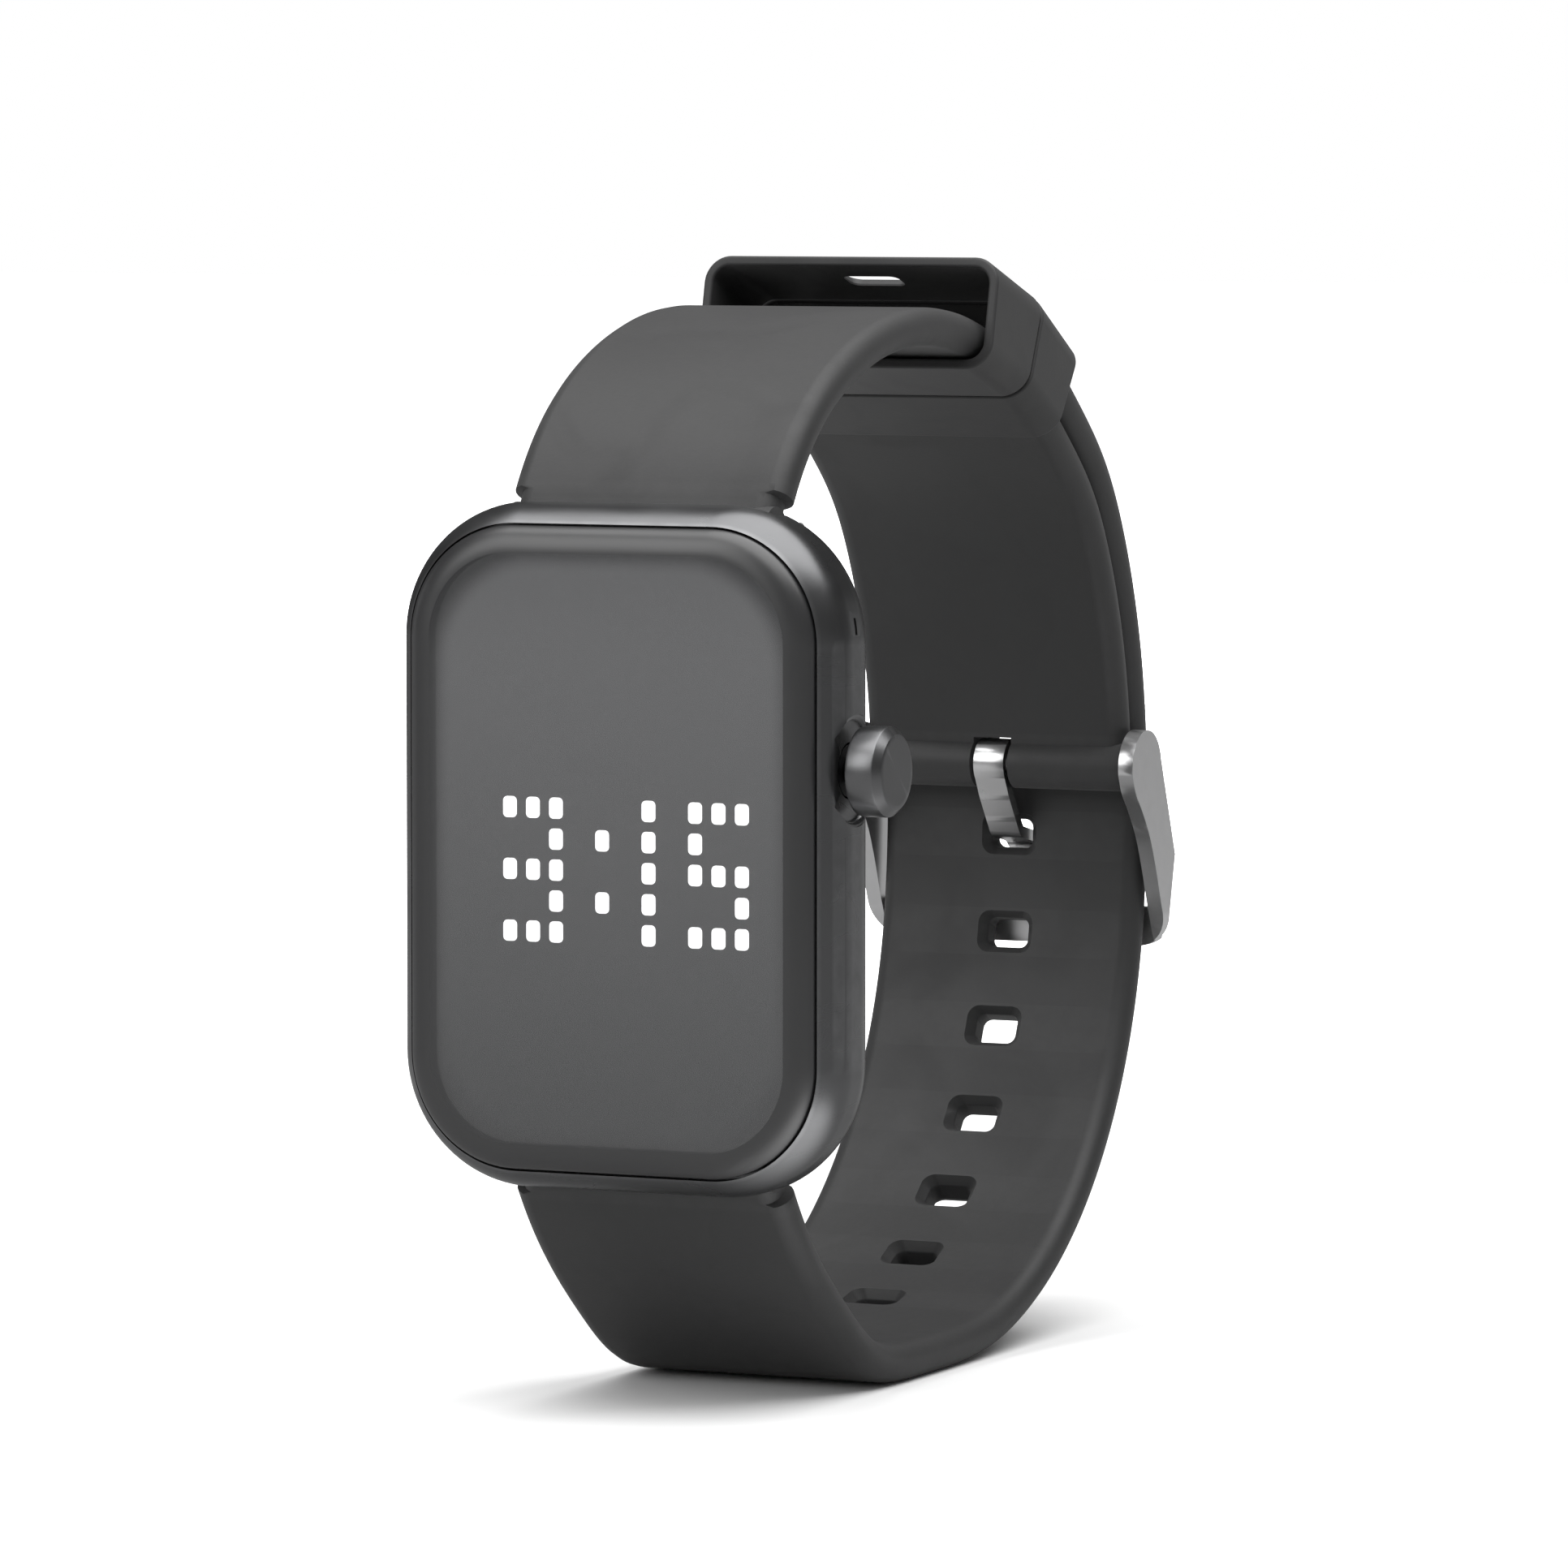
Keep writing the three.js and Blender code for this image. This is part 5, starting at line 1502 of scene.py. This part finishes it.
# ---- Back -------------------------------------------------------------------------------
class WATCH_OT_back(bpy.types.Operator):
    """Make the rear cover, the sensor window, the screws and the contacts"""

    bl_idname = "watch.make_back"
    bl_label = "Back"

    def execute(self, context):
        scene = context.scene
        finishes = scene.watch_finishes
        low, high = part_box("rear_cover")
        front, back = low.y - CENTRE.y, high.y - CENTRE.y
        half_x, half_z = (high.x - low.x) / 2, (high.z - low.z) / 2
        window_radius = 7.1 * MM
        corner = 2.35 * MM
        edge_width, edge_depth = 1.6 * MM, 0.45 * MM
        rings = [face_ring(half_x, half_z, corner, y) for y in (front, back - edge_depth)]
        steps = 8
        for i in range(1, steps + 1):
            angle = math.pi / 2 * i / steps
            inset = edge_width * (1 - math.cos(angle))
            rings.append(face_ring(
                half_x - inset, half_z - inset, corner,
                back - edge_depth + edge_depth * math.sin(angle)))
        cover = solid("rear_cover_panel", loft(rings))
        screws = [self.middle(f"rear_screw_{i}") for i in (1, 2, 3, 4)]
        contacts = [self.middle(f"charge_contact_{side}") for side in ("left", "right")]
        seat = FRAME_HALF_DEPTH - 0.1 * MM
        beyond = back + MM
        deep = front - MM
        carve(cover, [
            rod(window_radius - MM, deep, beyond, "Y", (0, 0), 96),
            rod(window_radius, seat, beyond, "Y", (0, 0), 96),
            *[rod(radius, level, beyond, "Y", (p.x, p.z), 32) for radius, level, places in (
                (0.8 * MM, deep, screws),
                (1.15 * MM, front + 0.35 * MM, screws),
                (0.95 * MM, deep, contacts),
            ) for p in places],
        ])
        soften(cover, 0.08 * MM)
        plastic = grained("rear_cover_polymer", finishes.cover, 0.42, 0.0, 3600, 0.02 * MM)
        finish_piece(cover, [plastic], "watch", ["rear_cover"])

        radius = window_radius - FIT_GAP
        window_low, window_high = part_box("sensor_window")
        start, end = window_low.y - CENTRE.y, window_high.y - CENTRE.y
        rise, bend = 0.5 * MM, 1.4 * MM
        profile = [
            (0, start), (radius - MM, start), (radius - MM, seat + FIT_GAP),
            (radius, seat + FIT_GAP), (radius, end - rise)]
        for i in range(1, steps + 1):
            angle = math.pi / 2 * i / steps
            profile.append((
                radius - bend * (1 - math.cos(angle)), end - rise + rise * math.sin(angle)))
        profile += [(radius - 2 * MM, end), (0, end)]
        window = solid("pulse_window", turned(profile, "Y", (0, 0), 128))
        finish_piece(window, [window_material(finishes)], "watch", ["sensor_window"])

        screw = solid("screw", self.screw_shape())
        arm, slot, cross_depth = 0.55 * MM, 0.13 * MM, 0.35 * MM
        carve(screw, [
            self.shifted(block(-x, x, SCREW_TOP - cross_depth, SCREW_TOP + MM, -z, z))
            for x, z in ((arm, slot), (slot, arm))])
        steel = brushed_material("screw_steel", finishes.steel, 0.26)
        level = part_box("rear_screw_1")[1].y
        heads = points_object(
            "rear_screws", [Vector((p.x + CENTRE.x, level, p.z + CENTRE.z)) for p in screws])
        for vertex in screw.data.vertices:
            vertex.co.y -= SCREW_TOP
        grow(heads, copies_tree(), {"Fitting": screw, "Material": steel})
        bpy.data.objects.remove(screw)
        finish_piece(heads, [steel], "watch", [f"rear_screw_{i}" for i in (1, 2, 3, 4)])

        pin_low, pin_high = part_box("charge_contact_left")
        depth = pin_high.y - pin_low.y
        pin = solid("pin", self.shifted(turned([
            (0, -depth), (0.8 * MM, -depth), (0.8 * MM, -0.12 * MM), (0.74 * MM, -0.04 * MM),
            (0.62 * MM, 0), (0, 0)], "Y", (0, 0), 32)))
        gold = grained("contact_gold", finishes.gold, 0.22, 1.0, 7000, 0.004 * MM, worn=1.2)
        pins = points_object("charge_contacts", [
            Vector((p.x + CENTRE.x, pin_high.y, p.z + CENTRE.z)) for p in contacts])
        grow(pins, copies_tree(), {"Fitting": pin, "Material": gold})
        bpy.data.objects.remove(pin)
        finish_piece(pins, [gold], "watch", ["charge_contact_left", "charge_contact_right"])
        return {"FINISHED"}

    @staticmethod
    def middle(node):
        """Middle of a CAD node, counted from the middle of the case."""
        low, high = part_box(node)
        return (low + high) / 2 - CENTRE

    @staticmethod
    def shifted(shape):
        """A shape moved from the middle of the case to the world's origin."""
        return [point - CENTRE for point in shape[0]], shape[1]

    @classmethod
    def screw_shape(cls):
        """Pan-head screw at the world's origin, with its head towards +Y."""
        low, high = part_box("rear_screw_1")
        foot = SCREW_TOP - (high.y - low.y)
        return cls.shifted(turned([
            (0, foot), (0.5 * MM, foot), (0.5 * MM, 0.9 * MM), (0.98 * MM, 0.9 * MM),
            (0.98 * MM, 1.2 * MM), (0.9 * MM, 1.36 * MM), (0.7 * MM, SCREW_TOP),
            (0, SCREW_TOP)], "Y", (0, 0), 32))


# ---- Parts kept from the CAD ------------------------------------------------------------
class WATCH_OT_inner(bpy.types.Operator):
    """Give the seals, pins and inner parts their finishes"""

    bl_idname = "watch.finish_inner"
    bl_label = "Inner parts"

    def execute(self, context):
        finishes = context.scene.watch_finishes
        seal = grained("seal_rubber", (0.012, 0.012, 0.012, 1), 0.7, 0.0, 3000, 0.02 * MM)
        plastic = grained("inner_plastic", (0.02, 0.02, 0.022, 1), 0.45, 0.0, 2600, 0.03 * MM)
        wrap = grained("cell_wrap", (0.42, 0.43, 0.45, 1), 0.3, 0.7, 1500, 0.03 * MM)
        chip = grained("chip_epoxy", (0.008, 0.008, 0.009, 1), 0.35, 0.0, 4000, 0.01 * MM)
        steel = brushed_material("pin_steel", finishes.steel, 0.24)
        # The crown's shaft and sleeve are painted dark as shade in the crown's well.
        shade_darkened_steel = brushed_material("blackened_steel", finishes.shade_darkened_steel, 0.35)
        can = brushed_material("shield_can", (0.62, 0.62, 0.6, 1), 0.3)
        board = board_material()
        kept = {
            "glass_gasket": seal, "rear_gasket": seal, "crown_o_ring": seal,
            "inner_frame": plastic, "crown_switch": plastic,
            "battery": wrap, "optical_sensor": chip,
            "main_board": board, "sensor_board": board,
            "processor_shield": can, "vibration_motor": can, "microphone": can,
            "crown_shaft": shade_darkened_steel, "crown_clip": steel, "crown_sleeve": shade_darkened_steel,
            "upper_spring_bar": steel, "lower_spring_bar": steel, "buckle_bar": steel,
        }
        for node, material in kept.items():
            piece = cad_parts[node]
            for material_slot in piece.material_slots:
                material_slot.material = material
        return {"FINISHED"}


# ---- Stage ------------------------------------------------------------------------------
class WATCH_OT_stage(bpy.types.Operator):
    """Make the floor, the lights and the camera"""

    bl_idname = "watch.make_stage"
    bl_label = "Stage"

    def execute(self, context):
        scene = context.scene
        stage, finishes = scene.watch_stage, scene.watch_finishes
        half_floor = 4.0
        corners = [
            (x * half_floor, y * half_floor, 0) for x, y in ((-1, -1), (1, -1), (1, 1), (-1, 1))]
        mesh = bpy.data.meshes.new("floor")
        mesh.from_pydata(corners, [], [(0, 1, 2, 3)])
        floor = bpy.data.objects.new("floor", mesh)
        scene.collection.objects.link(floor)
        paint = Paint("floor_paint", finishes.floor, 0.8, Specular_IOR_Level=0.1)
        texture = paint.effect(grain_group(), Scale=900, Mottle_Scale=8)
        bounced = paint.tint(texture.outputs["Mottle"], lighter(finishes.floor, 0.98))
        rays = paint.nodes.new("ShaderNodeLightPath")
        place = paint.place()

        def by_distance(centre, near, far, low, high):
            """Value that runs from low to high away from a place on the floor."""
            away = paint.measure("DISTANCE", place, centre)
            return paint.ramp(away, low, high, near, far, smooth=True)

        white = by_distance((0, 0, 0), 0.1, 0.7, stage.floor_near, stage.floor_far)
        seen = paint.tint(rays.outputs["Is Camera Ray"], white, bounced)
        # Painted highlight on the floor beside the crown, seen only by glossy rays, to light the
        # frame's lower corner in reflection.
        painted_highlight_centre = (0.032, -0.042, 0)
        patch = by_distance(
            painted_highlight_centre, 0.006, 0.035, stage.floor_painted_highlight, stage.floor_mirrored)
        paint.set("Base Color", paint.tint(rays.outputs["Is Glossy Ray"], patch, seen))
        mesh.materials.append(paint.material)

        world = bpy.data.worlds.new("studio")
        world.use_nodes = True
        scene.world = world
        nodes, links = world.node_tree.nodes, world.node_tree.links
        rays = nodes.new("ShaderNodeLightPath")
        room = nodes["Background"]
        room.inputs["Color"].default_value = (1, 1, 1, 1)
        room.inputs["Strength"].default_value = stage.dome
        shader = room.outputs["Background"]
        for ray, strength in (("Is Glossy Ray", stage.mirrored), ("Is Camera Ray", 1.0)):
            seen = nodes.new("ShaderNodeBackground")
            seen.inputs["Color"].default_value = (1, 1, 1, 1)
            seen.inputs["Strength"].default_value = strength
            choice = nodes.new("ShaderNodeMixShader")
            links.new(rays.outputs[ray], choice.inputs["Fac"])
            links.new(shader, choice.inputs[1])
            links.new(seen.outputs["Background"], choice.inputs[2])
            shader = choice.outputs["Shader"]
        links.new(shader, nodes["World Output"].inputs["Surface"])

        # Lamps aim at the middle of the strap's loop. Sizes in metres, power in watts.
        aim = CENTRE + Vector((0, 25 * MM, 0))
        for name, place, width, height, watts in (
            ("overhead_softbox", (0.1, -0.05, 0.8), 1.2, 1.1, 12.5),
            ("key_softbox", (-0.42, -0.75, 0.5), 0.5, 0.6, 2.8),
            ("rear_softbox", (0.42, 0.9, 0.1), 0.45, 0.3, 0.1),
            ("left_softbox", (-0.8, 0.0, 0.12), 0.2, 0.35, 0.12),
        ):
            light = bpy.data.lights.new(name, "AREA")
            light.shape = "RECTANGLE"
            light.size, light.size_y, light.energy = width, height, watts
            lamp = bpy.data.objects.new(name, light)
            lamp.location = aim + Vector(place) - Vector((0, 0, aim.z))
            lamp.rotation_euler = (aim - lamp.location).to_track_quat("-Z", "Y").to_euler()
            scene.collection.objects.link(lamp)

        lens = bpy.data.cameras.new("camera")
        lens.lens = stage.lens
        lens.sensor_width = 36
        lens.clip_start = 0.01
        lens.clip_end = 30
        camera = bpy.data.objects.new("camera", lens)
        a, e = stage.azimuth, stage.elevation
        back = Vector((math.sin(a) * math.cos(e), -math.cos(a) * math.cos(e), math.sin(e)))
        right = Vector((math.cos(a), math.sin(a), 0))
        up = back.cross(right)
        camera.location = CENTRE + back * stage.distance + right * stage.right + up * stage.up
        camera.rotation_euler = Matrix((right, up, back)).transposed().to_euler()
        scene.collection.objects.link(camera)
        scene.camera = camera
        scene.view_settings.view_transform = "Standard"
        return {"FINISHED"}


# ---- Add-on -----------------------------------------------------------------------------
SETTINGS = {
    "watch_case": CaseSizes,
    "watch_glass": GlassSizes,
    "watch_crown": CrownSizes,
    "watch_strap": StrapSizes,
    "watch_buckle": BuckleSizes,
    "watch_finishes": Finishes,
    "watch_stage": StageSizes,
}
OPERATORS = (
    WATCH_OT_case, WATCH_OT_glass, WATCH_OT_screen, WATCH_OT_crown, WATCH_OT_straps,
    WATCH_OT_keepers, WATCH_OT_buckle, WATCH_OT_back, WATCH_OT_inner, WATCH_OT_stage,
)


class WATCH_PT_panel(bpy.types.Panel):
    """Lists the makers and their sizes"""

    bl_idname = "WATCH_PT_panel"
    bl_label = "Smartwatch"
    bl_space_type = "VIEW_3D"
    bl_region_type = "UI"
    bl_category = "Smartwatch"

    def draw(self, context):
        for operator in OPERATORS:
            self.layout.operator(operator.bl_idname)
        for name in SETTINGS:
            settings = getattr(context.scene, name)
            box = self.layout.box()
            for label in settings.__annotations__:
                box.prop(settings, label)


def register():
    for cls in (*SETTINGS.values(), *OPERATORS, WATCH_PT_panel):
        bpy.utils.register_class(cls)
    for name, cls in SETTINGS.items():
        setattr(bpy.types.Scene, name, PointerProperty(type=cls))


def unregister():
    for name in SETTINGS:
        delattr(bpy.types.Scene, name)
    for cls in (WATCH_PT_panel, *reversed(OPERATORS), *reversed(SETTINGS.values())):
        bpy.utils.unregister_class(cls)


def main():
    register()
    bpy.ops.watch.make_case()
    bpy.ops.watch.make_glass()
    bpy.ops.watch.make_screen()
    bpy.ops.watch.make_crown()
    bpy.ops.watch.make_straps()
    bpy.ops.watch.make_keepers()
    bpy.ops.watch.make_buckle()
    bpy.ops.watch.make_back()
    bpy.ops.watch.finish_inner()
    bpy.ops.watch.make_stage()


if __name__ == "__main__":
    main()
